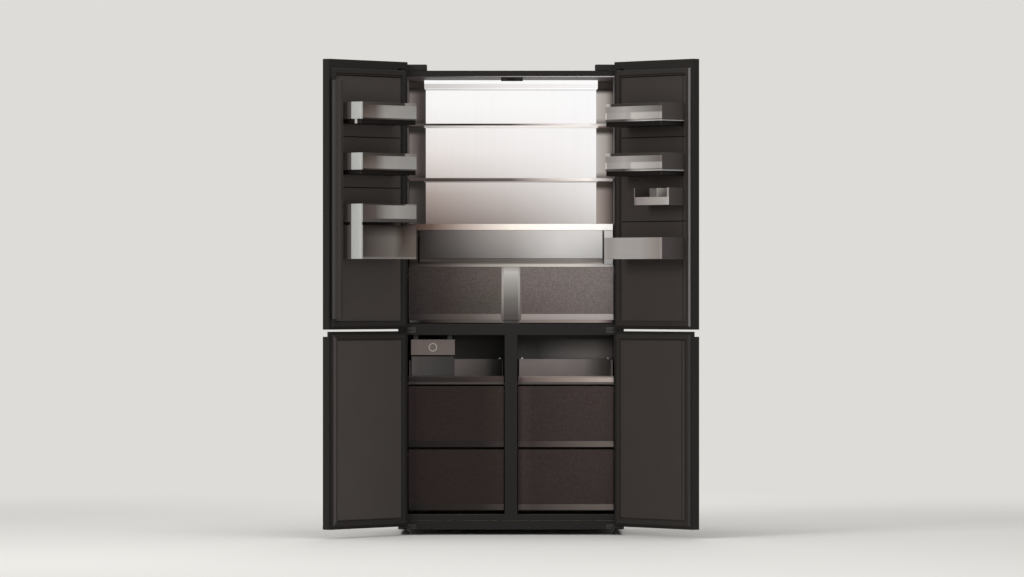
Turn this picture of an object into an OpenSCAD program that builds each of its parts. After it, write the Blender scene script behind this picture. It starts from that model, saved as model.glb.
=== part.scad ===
// Four-door refrigerator: two upper doors over the cold compartment, two lower doors
// over a split freezer. All four doors stand open, turned by open_angle about their pins.
// Millimetres. X runs across the front, Y to the back, Z up from the floor.
// Heights are stacked from the floor: feet, bottom rail, freezer, middle rail,
// cold compartment, top rail. Depths are measured from the front face of the cabinet
// and door pieces are drawn on the closed left door, then swung and mirrored.

/* [Cabinet] */
// Width of the cabinet
cab_w = 908; // [870:1:960]
// Depth of the cabinet without the doors
cab_d = 575; // [560:1:640]
// Thickness of the insulated side walls
wall = 36; // [32:1:44]
// Height of the feet under the cabinet
foot_h = 23; // [15:1:40]
// Height of the bottom rail
bottom_rail_h = 59; // [54:1:80]
// Height of the freezer opening
freezer_h = 722; // [700:1:760]
// Height of the middle rail
mid_rail_h = 46; // [42:1:60]
// Height of the cold compartment
fridge_h = 991; // [970:1:1040]
// Height of the top rail
top_rail_h = 26; // [24:1:40]
// Width of the upright between the two freezer openings
mullion_w = 51; // [44:1:60]
// Thickness of the steel sheet
sheet = 1; // [0.6:0.1:1.5]
// Thickness of the base pan
pan_t = 2; // [1.5:0.5:4]
// Thickness of the front frame
frame_t = 3; // [2:0.5:5]
// Thickness of the cabinet liners
liner_t = 2; // [1.5:0.5:3]
// Thickness of the insulation behind the compartments
back_wall = 42; // [38:1:52]
// Height of the bright lip under the top rail
lip_h = 9; // [6:1:14]
// Distance that this lip hangs below the ceiling
lip_drop = 5; // [0:1:8]

/* [Machine compartment] */
// Depth of the compartment behind the foam
machine_d = 182; // [176:1:190]
// Height of the compartment above the base pan
machine_h = 264; // [250:1:268]
// Thickness of the insulation in front of the compartment
machine_wall = 59; // [50:1:90]
// Height of the step in the freezer floor
step_h = 270; // [262:1:274]
// Radius of the compressor
comp_r = 72; // [60:1:78]
// Height of the compressor body
comp_h = 170; // [150:1:180]
// Radius of the condenser fan
fan_r = 62; // [50:1:66]
// Radius of each fan shaft
shaft_r = 3; // [2:0.1:4]
// Radial running clearance of each fan on its shaft
shaft_gap = 0.05; // [0.02:0.01:0.1]

/* [Doors] */
// Gap between the left and right doors
door_gap = 4; // [3:0.5:8]
// Gap between the upper and lower doors
level_gap = 8; // [7:0.5:12]
// Middle of that gap above the lower edge of the middle rail
split_rise = 20; // [18:1:24]
// Thickness of the door casing
door_t = 34; // [32:1:48]
// Thickness of the gasket
gasket_t = 7.7; // [7:0.1:10]
// Gap between a closed gasket and the cabinet front
seal_gap = 0.3; // [0.2:0.1:1]
// Width of the gasket
gasket_w = 24; // [20:1:26]
// Distance from the casing edge to the gasket along the sides
gasket_in = 16; // [15:1:20]
// Distance from the casing edge to the gasket at the ends
gasket_end = 10; // [9:1:14]
// Height of the upper doors above the cabinet top
door_rise = 33; // [30:1:45]
// Height of the lower doors above the bottom edge of the cabinet
door_lift = 13; // [12:1:18]
// Thickness of the casing skin
skin = 1.5; // [1:0.5:2]
// Thickness of the inner door panels
panel_t = 3; // [2.5:0.5:4]
// Height of the raised field on the lower inner panels
field_t = 5.2; // [4:0.1:6]
// Angle at which the doors stand open
open_angle = 132.5; // [120:0.5:133]
// Depth of the finger grips between the upper and lower doors, from the front
grip_d = 25; // [22:1:26]
// Height that the front of the lower doors is cut down to let the fingers in
grip_open = 20; // [16:1:26]
// Height of the pocket behind the lip of each grip
grip_deep = 22; // [18:1:30]
// Thickness of that lip
grip_lip = 4; // [3:0.5:5]
// Length of door beyond the free end of the pocket
grip_end = 12; // [8:1:20]

/* [Hinges] */
// Hinge axis from the side of the cabinet
hinge_in = 15; // [15:0.5:18]
// Hinge axis behind the front face of the doors
hinge_set = 15; // [15:0.5:20]
// Radius of the hinge pins
pin_r = 5; // [3:0.5:6]
// Radial clearance of the pins in their bushes
pin_gap = 0.05; // [0.02:0.01:0.1]
// Length of the hinge pins past their plates
pin_l = 20; // [15:1:25]
// Outer radius of the bushes
bush_r = 9; // [8:0.5:10]
// Length of the bushes
bush_l = 22; // [21:1:30]
// Thickness of the hinge plates
hinge_t = 3; // [2:0.5:3.5]
// Radius of the hinge arms round their pins
arm_r = 11; // [10:0.5:12]
// Width of the hinge arms
arm_w = 19; // [14:1:19]
// Height of the slot in the upper doors that the top hinge arm turns in
slot_h = 6; // [5.5:0.5:8]
// Height of the hinge covers
cover_h = 25; // [20:1:30]
// Width of the hinge covers
cover_w = 102; // [90:1:120]
// Depth of the hinge covers
cover_d = 73; // [68:1:90]

/* [Door bins] */
// Distance from the side of the cabinet to the bins
bin_out = 78; // [76:1:90]
// Distance from the free edge of the door to the bins
bin_in = 50; // [48:1:70]
// Depth of the bins from the inner door panel
bin_d = 127; // [100:1:128]
// Wall of the bins
bin_wall = 3; // [2:0.5:4]
// Corner radius of the bins
bin_r = 8; // [6:1:30]
// Height of the lower skirt of a shallow bin under its guard band
bin_skirt = 19; // [10:1:30]
// Inset of that skirt
skirt_in = 3; // [2:0.5:5]
// Height of the guard band on the left bins
guard_l = 67; // [50:1:80]
// Height of the guard band on the right bins
guard_r = 72; // [50:1:80]
// Height of the lowest bins above the floor of the cold compartment
bin_low_h = 258; // [250:1:280]
// Height of the lower box on the left door
low_box_h = 134; // [110:1:138]
// Height of the upper tray on the left door
up_tray_h = 72; // [50:1:80]
// Gap between that box and tray
tier_gap = 12; // [6:1:20]
// Depth of the end cheek that joins them
tier_cheek = 60; // [30:1:80]
// Height of the lower left guard band above that tray
bin_rise_l = 135; // [60:1:140]
// Height of the upper left guard band above the lower one
bin_step_l = 201; // [160:1:210]
// Height of the low bin on the right door
low_bin_h = 85; // [70:1:120]
// Distance that the low bin reaches past the bins over it, on the hinge side
low_bin_more = 6; // [0:1:20]
// Length of the small bin on the right door
small_w = 199; // [120:1:220]
// Depth of the small bin
small_d = 89; // [60:1:100]
// Height of the front guard of the small bin
small_guard = 32; // [20:1:48]
// Height of the small bin
small_h = 68; // [50:1:80]
// Height of the small bin above the low bin
small_rise = 129; // [60:1:140]
// Height of the lower right guard band above the small bin
bin_rise_r = 67; // [40:1:90]
// Height of the upper right guard band above the lower one
bin_step_r = 197; // [160:1:210]

/* [Flip mullion] */
// Width of the flip bar that closes the gap behind the upper doors
flip_w = 50; // [42:1:52]
// Thickness of the flip bar
flip_t = 16; // [12:1:16]
// Distance of the folded bar from the middle of the cabinet
flip_in = 8; // [8:1:10]
// Radius of the pivot pins of the bar
flip_pin_r = 3; // [2:0.5:4]

/* [Shelves] */
// Depth from the front to the shelves
shelf_front = 128; // [126:1:150]
// Height of the front trim of the shelves
shelf_trim_h = 18; // [12:1:24]
// Depth of the front trims
trim_d = 12; // [10:1:16]
// Thickness of the shelf glass
glass_t = 4; // [3:0.5:5]
// Height of the upper shelf above the floor of the cold compartment
shelf_1_h = 808; // [780:1:820]
// Height of the lower shelf above that floor
shelf_2_h = 588; // [560:1:610]
// Height of the crisper cover above that floor
crisper_h = 402; // [390:1:420]
// Height of the crisper bar
crisper_bar_h = 25; // [20:1:30]
// Height of the glass over the two drawers above that floor
pair_h = 241; // [230:1:250]
// Height of its front bar
cover_bar_h = 12; // [10:1:16]
// Gap between a shelf and the side walls
shelf_gap = 6; // [3:1:8]
// Depth of the ledges along the side walls
ledge_w = 13; // [12:0.5:14]
// Height of the ledges
ledge_h = 8; // [6:1:10]
// Distance from the air duct panel to the back of the compartments
duct_gap = 38; // [34:1:40]
// Thickness of the air duct panel
duct_t = 2; // [1.5:0.5:3]
// Half the width of the light panel
light_w = 350; // [320:1:356]
// Thickness of the light panel
light_t = 8; // [6:1:10]
// Height of the ceiling lamp
lamp_h = 33; // [25:1:40]
// Depth of the ceiling lamp
lamp_d = 150; // [120:1:155]

/* [Drawers] */
// Depth from the front to the lower pair and the column
pair_front = 56; // [52:1:66]
// Half the width of the middle column
column_w = 38; // [34:1:44]
// Underside of the lower pair above the floor of the compartment
pair_lift = 14; // [10:1:20]
// Depth from the front to the freezer drawers
freezer_front = 22; // [20:1:40]
// Gap between a drawer front and what stands beside it
side_gap = 4; // [3:0.5:5]
// Thickness of the drawer fronts
front_t = 6; // [4:1:8]
// Wall of the drawers
tub_t = 2.5; // [2:0.5:3]
// Width of the rim on each side of a drawer
rim_w = 8; // [7:0.5:9]
// Height of the trim along the foot of a drawer front
trim_h = 24; // [18:1:28]
// Distance that the trims stand proud of the fronts
trim_out = 3; // [2:0.5:4]
// Clearance between a drawer and what it slides on
slide_gap = 0.3; // [0.2:0.1:0.5]
// Half the width of the crisper
crisper_w = 370; // [355:1:371]
// Gap between the crisper and the glass under it
crisper_lift = 6; // [4:1:20]
// Distance from the step in the freezer floor down to the lower drawers
low_under = 9; // [7:1:16]
// Gap between the freezer floor and the lower drawers
low_lift = 17; // [12:1:20]
// Gap between the upper freezer drawers and the trays
tray_gap = 7; // [5:1:15]
// Distance from the freezer ceiling down to the underside of the trays
tray_drop = 199; // [190:1:210]
// Height of the front of the freezer trays
tray_front_h = 34; // [28:1:40]
// Height of the side walls of the freezer trays
tray_h = 97; // [80:1:100]

/* [Ice maker] */
// Width of the ice maker
ice_w = 177; // [150:1:185]
// Height of the ice maker
ice_h = 63; // [58:1:65]
// Depth of the ice maker
ice_d = 300; // [250:1:320]
// Gap between the ice maker and the freezer ceiling
ice_drop = 18; // [15:1:20]
// Gap between the ice maker and the ice bin under it
ice_gap = 5; // [4:1:8]
// Width of the ice bin
ice_bin_w = 170; // [150:1:175]

/* [Hidden] */

$fn = 64;
LEFT = -1;
RIGHT = 1;
past = 1; // how far a cut runs past the face it opens

half_w = cab_w / 2;
in_w = half_w - wall;
foot_z = foot_h;
freezer_z0 = foot_h + bottom_rail_h;
freezer_z1 = freezer_z0 + freezer_h;
fridge_z0 = freezer_z1 + mid_rail_h;
fridge_z1 = fridge_z0 + fridge_h;
cab_z = fridge_z1 + top_rail_h;
lip_top = fridge_z1 - lip_drop + lip_h;
half_m = mullion_w / 2;
pan_z = foot_z + pan_t;
machine_y = cab_d - sheet - machine_d;
inner_d = cab_d - sheet - liner_t - back_wall;
low_d = machine_y - sheet - liner_t - machine_wall;
duct_y = inner_d - duct_gap;
machine_z = pan_z + machine_h;
step_z = freezer_z0 + step_h;
back_gap = 0.5;

// Door layout, all on the closed left door.
door_back = -seal_gap - gasket_t;
door_front = door_back - door_t;
door_x0 = -half_w;
door_x1 = -door_gap / 2;
split_z = freezer_z1 + split_rise;
upper_z0 = split_z + level_gap / 2;
upper_z1 = cab_z + door_rise;
lower_z0 = foot_z + door_lift;
lower_z1 = split_z - level_gap / 2;
top_seal = cab_z - 1;
hinge_x = half_w - hinge_in;
hinge_y = door_front + hinge_set;
slot_z = cab_z - 1;
cap_floor = 4;
slot_x = door_x0 + hinge_in + arm_r * 2 + 17;
gas_x0 = door_x0 + gasket_in;
gas_x1 = door_x1 - gasket_in + 1;
bin_x0 = door_x0 + bin_out;
bin_x1 = door_x1 - bin_in;
bin_y1 = door_back + bin_d;
bin_low_z = fridge_z0 + bin_low_h;
up_tray_z = bin_low_z + low_box_h + tier_gap;
bin_mid_l = up_tray_z + up_tray_h + bin_rise_l;
bin_top_l = bin_mid_l + bin_step_l;
small_z = bin_low_z + low_bin_h + small_rise;
bin_mid_r = small_z + small_h + bin_rise_r;
bin_top_r = bin_mid_r + bin_step_r;
bracket_t = 6;
flip_z0 = upper_z0 + gasket_end + gasket_w + bracket_t + 2;
flip_z1 = fridge_z1 - 25;
flip_y0 = 0.5;
flip_x = -flip_in - flip_t / 2;
flip_y = flip_y0 + flip_t / 2;
shelf_w = in_w - shelf_gap;
shelf_1_z = fridge_z0 + shelf_1_h;
shelf_2_z = fridge_z0 + shelf_2_h;
crisper_z = fridge_z0 + crisper_h;
cover_z = fridge_z0 + pair_h;
duct_back = duct_y + duct_t;
lamp_y = duct_y - light_t - lamp_d;

// Foremost point of the open doors, so that Y = 0 is the middle of the whole refrigerator.
function swung_y(x, y) = hinge_y - (x + hinge_x) * sin(open_angle) + (y - hinge_y) * cos(open_angle);
front_y = min(
    swung_y(door_x1, door_front), swung_y(door_x1, door_back),
    swung_y(bin_x1 - bin_r, bin_y1 - bin_r) - bin_r, swung_y(-flip_in, flip_y0 + flip_w)
);
mid_y = (cab_d + front_y) / 2;

// Puts what is measured from the cabinet front into the part's own frame.
module placed() {
    translate([0, -mid_y, 0]) children();
}

module slab(x0, x1, y0, y1, z0, z1) {
    translate([x0, y0, z0]) cube([x1 - x0, y1 - y0, z1 - z0]);
}

// A child drawn on the left, there or mirrored to the right.
module on_side(side) {
    if (side == RIGHT) {
        mirror([1, 0, 0]) children();
    } else {
        children();
    }
}

module both_sides() {
    on_side(LEFT) children();
    on_side(RIGHT) children();
}

// A child drawn on the closed left door, swung open about the hinge pins.
module on_door(side) {
    placed() on_side(side)
        translate([-hinge_x, hinge_y, 0]) rotate([0, 0, -open_angle]) translate([hinge_x, -hinge_y, 0])
            children();
}

module at_hinge() {
    translate([-hinge_x, hinge_y, 0]) children();
}

// A flat outline with its two far corners rounded.
module round_front(x0, x1, y0, y1, r) {
    translate([x0, y0]) square([x1 - x0, y1 - y0 - r]);
    translate([x0 + r, y0]) square([x1 - x0 - 2 * r, y1 - y0]);
    translate([x0 + r, y1 - r]) circle(r);
    translate([x1 - r, y1 - r]) circle(r);
}

module rounded_block(x0, x1, y0, y1, z0, z1, r) {
    translate([0, 0, z0]) linear_extrude(z1 - z0) round_front(x0, x1, y0, y1, max(r, 1));
}

// An open tub with rounded far corners and the same wall all round.
module round_tub(x0, x1, y0, y1, z0, z1, t, r) {
    difference() {
        rounded_block(x0, x1, y0, y1, z0, z1, r);
        rounded_block(x0 + t, x1 - t, y0 + t, y1 - t, z0 + t, z1 + past, r - t);
    }
}

// Outer and inner boxes of one freezer liner, stepped over the machine compartment.
module freezer_room(x0, x1, y0, grow) {
    slab(x0 - grow, x1 + grow, y0, low_d + grow, freezer_z0 - grow, freezer_z1 + grow);
    slab(x0 - grow, x1 + grow, y0, inner_d + grow, step_z - grow, freezer_z1 + grow);
}

// Opening between the two freezer sides for the cold air.
air_z0 = step_z + 160;
air_z1 = step_z + 260;
module air_passage() {
    slab(-half_m - liner_t - past, half_m + liner_t + past, duct_back + 8, inner_d - 4, air_z0, air_z1);
}

module cabinet_shell() {
    color("#23231F") placed() {
        slab(-half_w, half_w, frame_t, cab_d, cab_z - sheet, cab_z);
        both_sides() slab(-half_w, -half_w + sheet, frame_t, cab_d, foot_z, cab_z);
        slab(-half_w, half_w, frame_t, cab_d, foot_z, pan_z);
        slab(-half_w, half_w, machine_y - sheet, machine_y, foot_z, machine_z + sheet);
        slab(-half_w, half_w, machine_y - sheet, cab_d, machine_z, machine_z + sheet);
    }
}

module rear_panel() {
    color("#3B3B3A") placed() difference() {
        slab(-half_w + sheet, half_w - sheet, cab_d - sheet, cab_d, machine_z + sheet, cab_z - sheet);
        for (x = [-half_w / 2, half_w / 2]) {
            translate([x, cab_d, cab_z - 60]) rotate([90, 0, 0])
                cylinder(r = 4, h = 4 * sheet, center = true);
        }
    }
}

module cabinet_foam() {
    color("#E7D9A8") placed() difference() {
        slab(-half_w + sheet, half_w - sheet, frame_t, cab_d - sheet, pan_z, cab_z - sheet);
        slab(-in_w - liner_t, in_w + liner_t, 0, inner_d + liner_t, fridge_z0 - liner_t, fridge_z1 + liner_t);
        both_sides() freezer_room(-in_w, -half_m, 0, liner_t);
        slab(-half_w, half_w, machine_y - sheet, cab_d, 0, machine_z + sheet);
        air_passage();
    }
}

// Ledges that carry the shelves, on the left wall.
module shelf_ledge(top) {
    slab(-in_w - liner_t / 2, -in_w + ledge_w, shelf_front + 24, duct_y - 20,
        top - glass_t - ledge_h, top - glass_t);
}

module pair_ledge() {
    slab(-in_w - liner_t / 2, -in_w + ledge_w, pair_front + front_t + 4, duct_y - 20,
        pair_rim_z - slide_gap - ledge_h, pair_rim_z - slide_gap);
}

module fridge_liner() {
    color("#5B5652") placed() difference() {
        union() {
            slab(-in_w - liner_t, in_w + liner_t, frame_t, inner_d + liner_t,
                fridge_z0 - liner_t, fridge_z1 + liner_t);
            slab(-in_w, in_w, 0, frame_t, fridge_z1 - lip_drop, lip_top);
        }
        difference() {
            slab(-in_w, in_w, -past, inner_d, fridge_z0, fridge_z1);
            both_sides() {
                shelf_ledge(shelf_1_z);
                shelf_ledge(shelf_2_z);
                shelf_ledge(cover_z);
                pair_ledge();
            }
        }
    }
}

module freezer_ledge(x0, x1, top, y1) {
    slab(x0, x1, freezer_front + front_t + 4, y1, top - slide_gap - ledge_h, top - slide_gap);
}

// Ledges for the drawers and the tray on one wall of the left freezer.
module freezer_ledges(x0, x1) {
    freezer_ledge(x0, x1, low_rim_z, low_d - 20);
    freezer_ledge(x0, x1, up_rim_z, duct_y - 20);
    freezer_ledge(x0, x1, tray_floor_z, duct_y - 20);
}

module freezer_liners() {
    color("#4A4643") placed() both_sides() difference() {
        freezer_room(-in_w, -half_m, frame_t, liner_t);
        difference() {
            freezer_room(-in_w, -half_m, -past, 0);
            freezer_ledges(-in_w - liner_t / 2, -in_w + ledge_w);
            freezer_ledges(-half_m - ledge_w + 2, -half_m + liner_t / 2);
        }
        air_passage();
    }
}

guide_x0 = -40;
guide_x1 = 48;
module face_frame() {
    color("#262523") placed() {
        difference() {
            slab(-half_w, half_w, 0, frame_t, foot_z + bottom_rail_h / 2 + 6, cab_z);
            slab(-in_w, in_w, -past, frame_t + past, fridge_z0, lip_top);
            both_sides() slab(-in_w, -half_m, -past, frame_t + past, freezer_z0, freezer_z1);
        }
        slab(-half_w, half_w, 0, frame_t, foot_z, foot_z + bottom_rail_h / 2 + 5.5);
        difference() {
            rounded_block(guide_x0, guide_x1, frame_t + 3, 40, fridge_z1 - 15, fridge_z1, 10);
            translate([0, -past, 0]) slab(-14, 14, 0, 26, fridge_z1 - 16, fridge_z1 - 5);
        }
    }
}

module feet() {
    color("#1B1B1A") placed() {
        for (x = [-half_w + 29, half_w - 29], y = [45, cab_d - 55]) {
            translate([x, y, 0]) {
                cylinder(r = 18, h = foot_h / 2);
                cylinder(r = 6, h = foot_h);
            }
        }
    }
}

// A hinge arm that runs at 45 degrees from the pin towards the cabinet.
module hinge_arm(z, t, length) {
    at_hinge() translate([0, 0, z]) linear_extrude(t) {
        circle(arm_r);
        rotate(45) translate([0, -arm_w / 2]) square([length, arm_w]);
    }
}

module hinge_pin(z0, z1) {
    at_hinge() translate([0, 0, z0]) cylinder(r = pin_r, h = z1 - z0);
}

module top_hinges() {
    color("#8C8C8A") placed() both_sides() {
        hinge_arm(cab_z, hinge_t, (8 - hinge_y) * sqrt(2));
        slab(-half_w + 24, -half_w + cover_w + 4, 8, cover_d - 8, cab_z, cab_z + hinge_t);
        hinge_pin(slot_z - pin_l, cab_z + past);
        for (x = [36, 66, 94]) {
            translate([-half_w + x, cover_d / 2 + 8, cab_z + hinge_t]) cylinder(r = 5, h = 3);
        }
    }
}

// A plate and flange screwed to the cabinet front, cut off level with that face.
module front_hinge(z, t, flange_z0, flange_z1) {
    difference() {
        hinge_arm(z, t, -2 * hinge_y);
        slab(-half_w, 0, 0, cab_d, z - past, z + t + past);
    }
    slab(-half_w + 32, -half_w + 72, -2.5, 0, flange_z0, flange_z1);
}

module lower_hinges() {
    color("#8C8C8A") placed() both_sides() {
        front_hinge(split_z - 2, 4, split_z - 12, split_z + 12);
        hinge_pin(lower_z1 - pin_l + 2, upper_z0 + pin_l - 2);
        front_hinge(lower_z0 - 7, 4, foot_z + 1, lower_z0 + 7);
        hinge_pin(lower_z0 - 7, lower_z0 + pin_l - 2);
    }
}

module hinge_covers() {
    color("#2B2A27") placed() both_sides() difference() {
        slab(-half_w + 14, -half_w + 14 + cover_w, 2, 2 + cover_d, cab_z, cab_z + cover_h);
        slab(-half_w + 16, -half_w + 12 + cover_w, 4, cover_d, cab_z - past, cab_z + cover_h - 2);
        slab(-half_w + 14 - past, -half_w + 70, 0, 6, cab_z - past, cab_z + hinge_t + 1);
    }
}

gland_x = -half_w + 90;
gland_z = pan_z + 40;
gland_r = 12;
module rear_cover() {
    color("#2E2E2D") placed() difference() {
        slab(-half_w + sheet + back_gap, half_w - sheet - back_gap, cab_d - 1.5, cab_d,
            pan_z + back_gap, machine_z - back_gap);
        for (row = [0:7], col = [-1, 1]) {
            translate([col * half_w / 2 - half_w * 0.2, cab_d - 5, pan_z + 70 + row * 20])
                cube([half_w * 0.4, 10, 6]);
        }
        translate([gland_x, cab_d - 10, gland_z]) rotate([-90, 0, 0])
            cylinder(r = gland_r + back_gap, h = 20);
    }
}

module cord_gland() {
    color("#151515") placed() translate([gland_x, cab_d - 14, gland_z]) rotate([-90, 0, 0]) difference() {
        union() {
            cylinder(r = gland_r, h = 14);
            translate([0, 0, 9]) cylinder(r = gland_r + 4, h = 3.5);
        }
        translate([0, 0, -past]) cylinder(r = gland_r - 7, h = 20);
    }
}

comp_x = 150;
comp_y = machine_y + machine_d / 2;
comp_z = pan_z + 12;
module compressor() {
    color("#1D1D1D") placed() {
        translate([comp_x, comp_y, comp_z]) {
            cylinder(r = comp_r, h = comp_h - 25);
            translate([0, 0, comp_h - 25]) cylinder(r1 = comp_r, r2 = comp_r - 30, h = 25);
            translate([-comp_r - 15, -60, 0]) cube([2 * comp_r + 30, 120, 4]);
        }
        for (dx = [-comp_r, comp_r], dy = [-48, 48]) {
            translate([comp_x + dx, comp_y + dy, pan_z]) cylinder(r = 9, h = comp_z - pan_z);
        }
        translate([comp_x + comp_r - 5, comp_y - 25, comp_z + 60]) cube([35, 50, 45]);
    }
}

tray_z = comp_z + comp_h;
module drip_tray() {
    color("#8A8A88") placed() difference() {
        slab(comp_x - 110, comp_x + 110, machine_y + 12, cab_d - 16, tray_z, tray_z + 30);
        slab(comp_x - 107, comp_x + 107, machine_y + 15, cab_d - 19, tray_z + 2, tray_z + 31);
    }
}

fan_x = -70;
fan_z = pan_z + 100;
cond_x0 = -330;
cond_x1 = fan_x - 40;
module condenser() {
    color("#9A9C9E") placed() {
        for (x = [cond_x0:12:cond_x1]) {
            slab(x, x + 1.5, machine_y + 22, cab_d - 40, pan_z, pan_z + 200);
        }
        for (row = [0:4], col = [0:2]) {
            translate([cond_x0 - 6, machine_y + 45 + col * 40, pan_z + 24 + row * 38])
                rotate([0, 90, 0]) cylinder(r = 4, h = cond_x1 - cond_x0 + 14);
        }
        difference() {
            slab(fan_x + 16, fan_x + 20, comp_y - fan_r - 12, comp_y + fan_r + 12, pan_z, fan_z + fan_r + 12);
            translate([fan_x + 10, comp_y, fan_z]) rotate([0, 90, 0]) cylinder(r = fan_r + 4, h = 20);
        }
        slab(fan_x + 16, fan_x + 20, comp_y - fan_r - 8, comp_y + fan_r + 8, fan_z - 7, fan_z + 7);
        translate([fan_x + 12, comp_y, fan_z]) rotate([0, 90, 0]) cylinder(r = 22, h = 26);
        translate([fan_x - 14, comp_y, fan_z]) rotate([0, 90, 0]) cylinder(r = shaft_r, h = 30);
    }
}

// A fan with its axis along Z, bored to run on its shaft.
module fan_wheel(r, hub_r, depth, blades) {
    difference() {
        union() {
            cylinder(r = hub_r, h = depth);
            for (i = [0:blades - 1]) {
                rotate([0, 0, i * 360 / blades]) translate([0, -1, 0]) rotate([35, 0, 0])
                    translate([hub_r - 4, -1, 1]) cube([r - hub_r + 2, 2, depth * 0.9]);
            }
        }
        translate([0, 0, -past]) cylinder(r = shaft_r + shaft_gap, h = depth + 2 * past);
        difference() {
            translate([0, 0, -depth]) cylinder(r = 2 * r, h = 3 * depth);
            translate([0, 0, -depth - past]) cylinder(r = r, h = 3 * depth + 2 * past);
        }
    }
}

module condenser_fan() {
    color("#222222") placed() translate([fan_x - 10, comp_y, fan_z]) rotate([0, 90, 0])
        fan_wheel(fan_r, 18, 20, 6);
}

module control_box() {
    color("#303236") placed() {
        slab(half_w - 150, half_w - 30, machine_y + 20, cab_d - 40, pan_z, pan_z + 110);
        slab(half_w - 140, half_w - 40, cab_d - 40, cab_d - 34, pan_z + 12, pan_z + 98);
    }
}

evap_y0 = duct_back + 5;
evap_y1 = inner_d - 1;
module evaporator(x0, x1, z0, z1) {
    for (x = [x0:16:x1]) {
        slab(x, x + 1.5, evap_y0, evap_y1, z0, z1);
    }
    for (z = [z0 + 20:35:z1 - 10]) {
        translate([x0 - 6, (evap_y0 + evap_y1) / 2, z]) rotate([0, 90, 0]) cylinder(r = 4, h = x1 - x0 + 12);
    }
    slab(x0 + 4, x1 - 4, evap_y1 - 2, inner_d, z0 + 10, z1 - 10);
}

module evaporators() {
    color("#B9BCBE") placed() {
        evaporator(-240, 240, fridge_z0 + 60, fridge_z0 + 260);
        evaporator(-in_w + 60, -half_m - 90, step_z + 30, step_z + 150);
    }
}

// A motor on the back of an air duct panel, with its shaft.
module duct_motor(x, z) {
    translate([x, duct_back, z]) rotate([-90, 0, 0]) {
        cylinder(r = 17, h = 8);
        cylinder(r = shaft_r, h = 26);
    }
}

duct_fan_r = 50;
fridge_fan_z = fridge_z0 + 450;
freezer_fan_x = -in_w / 2 - 30;
freezer_fan_z = step_z + 300;
module duct_fan(x, z) {
    translate([x, duct_back + 11, z]) rotate([-90, 0, 0]) fan_wheel(duct_fan_r, 14, 14, 6);
}

module fridge_fan() {
    color("#2A2A2A") placed() duct_fan(0, fridge_fan_z);
}

module freezer_fan() {
    color("#2A2A2A") placed() duct_fan(freezer_fan_x, freezer_fan_z);
}

duct_top = fridge_z1 - 29;
module duct_panel() {
    color("#6B6058") placed() {
        slab(-in_w + back_gap, in_w - back_gap, duct_y, duct_back, fridge_z0 + back_gap, duct_top);
        duct_motor(0, fridge_fan_z);
        for (x = [-in_w + 30, in_w - 30], z = [fridge_z0 + 120, duct_top - 120]) {
            translate([x, duct_back, z]) rotate([-90, 0, 0]) cylinder(r = 6, h = inner_d - duct_back);
        }
    }
}

module freezer_back_covers() {
    vent_drop = 112; // behind the trays
    color("#45403D") placed() {
        both_sides() difference() {
            slab(-in_w + back_gap, -half_m - back_gap, duct_y, duct_back,
                step_z + back_gap, freezer_z1 - back_gap);
            for (i = [0:4]) {
                slab(-in_w + 70, -half_m - 70, duct_y - past, duct_back + past,
                    freezer_z1 - vent_drop - i * 14, freezer_z1 - vent_drop + 6 - i * 14);
            }
        }
        duct_motor(freezer_fan_x, freezer_fan_z);
        both_sides() for (x = [-in_w + 20, -half_m - 20]) {
            translate([x, duct_back, freezer_z1 - 100]) rotate([-90, 0, 0])
                cylinder(r = 6, h = inner_d - duct_back);
        }
    }
}

module light_panels() {
    color("#F4F2F0") placed() {
        slab(-light_w, light_w, duct_y - light_t, duct_y, crisper_z + 2, fridge_z1 - lamp_h - 2);
        slab(-light_w - 4, light_w + 4, lamp_y, duct_y - light_t, fridge_z1 - lamp_h, fridge_z1);
    }
}

module shelf_plate(top, front) {
    slab(-shelf_w, shelf_w, front + trim_d, duct_y - light_t - 2, top - glass_t, top);
}

module shelf_glass() {
    color("#BFD0CE") placed() {
        shelf_plate(shelf_1_z, shelf_front);
        shelf_plate(shelf_2_z, shelf_front);
        shelf_plate(crisper_z, shelf_front);
        shelf_plate(cover_z, pair_front);
    }
}

// A front trim with a lip that runs under the edge of the glass.
module shelf_trim(top, front, h) {
    slab(-shelf_w, shelf_w, front, front + trim_d, top - h, top);
    slab(-shelf_w + ledge_w, shelf_w - ledge_w, front + trim_d, front + 2 * trim_d,
        top - glass_t - 3, top - glass_t);
}

module shelf_trims() {
    color("#B9A592") placed() {
        shelf_trim(shelf_1_z, shelf_front, shelf_trim_h);
        shelf_trim(shelf_2_z, shelf_front, shelf_trim_h);
        shelf_trim(crisper_z, shelf_front, crisper_bar_h);
        slab(-shelf_w, shelf_w, pair_front, pair_front + trim_d, cover_z - cover_bar_h, cover_z);
    }
}

// An open drawer: front, tub with a rim on each side to ride on, and a trim along the foot.
// The tub starts set_in behind the ends of the front.
module drawer(x0, x1, y0, length, z0, z1, rim_z, set_in) {
    slab(x0, x1, y0, y0 + front_t, z0, z1);
    difference() {
        slab(x0 + set_in, x1 - set_in, y0 + front_t, y0 + length, z0 + 6, rim_z + 4);
        slab(x0 + set_in + tub_t, x1 - set_in - tub_t, y0 + front_t, y0 + length - tub_t,
            z0 + 6 + tub_t, rim_z + 4 + past);
    }
    slab(x0 + set_in - rim_w, x0 + set_in, y0 + front_t + 6, y0 + length, rim_z, rim_z + 4);
    slab(x1 - set_in, x1 - set_in + rim_w, y0 + front_t + 6, y0 + length, rim_z, rim_z + 4);
}

module drawer_trim(x0, x1, y0, z0) {
    slab(x0, x1, y0 - trim_out, y0, z0, z0 + trim_h);
}

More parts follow.
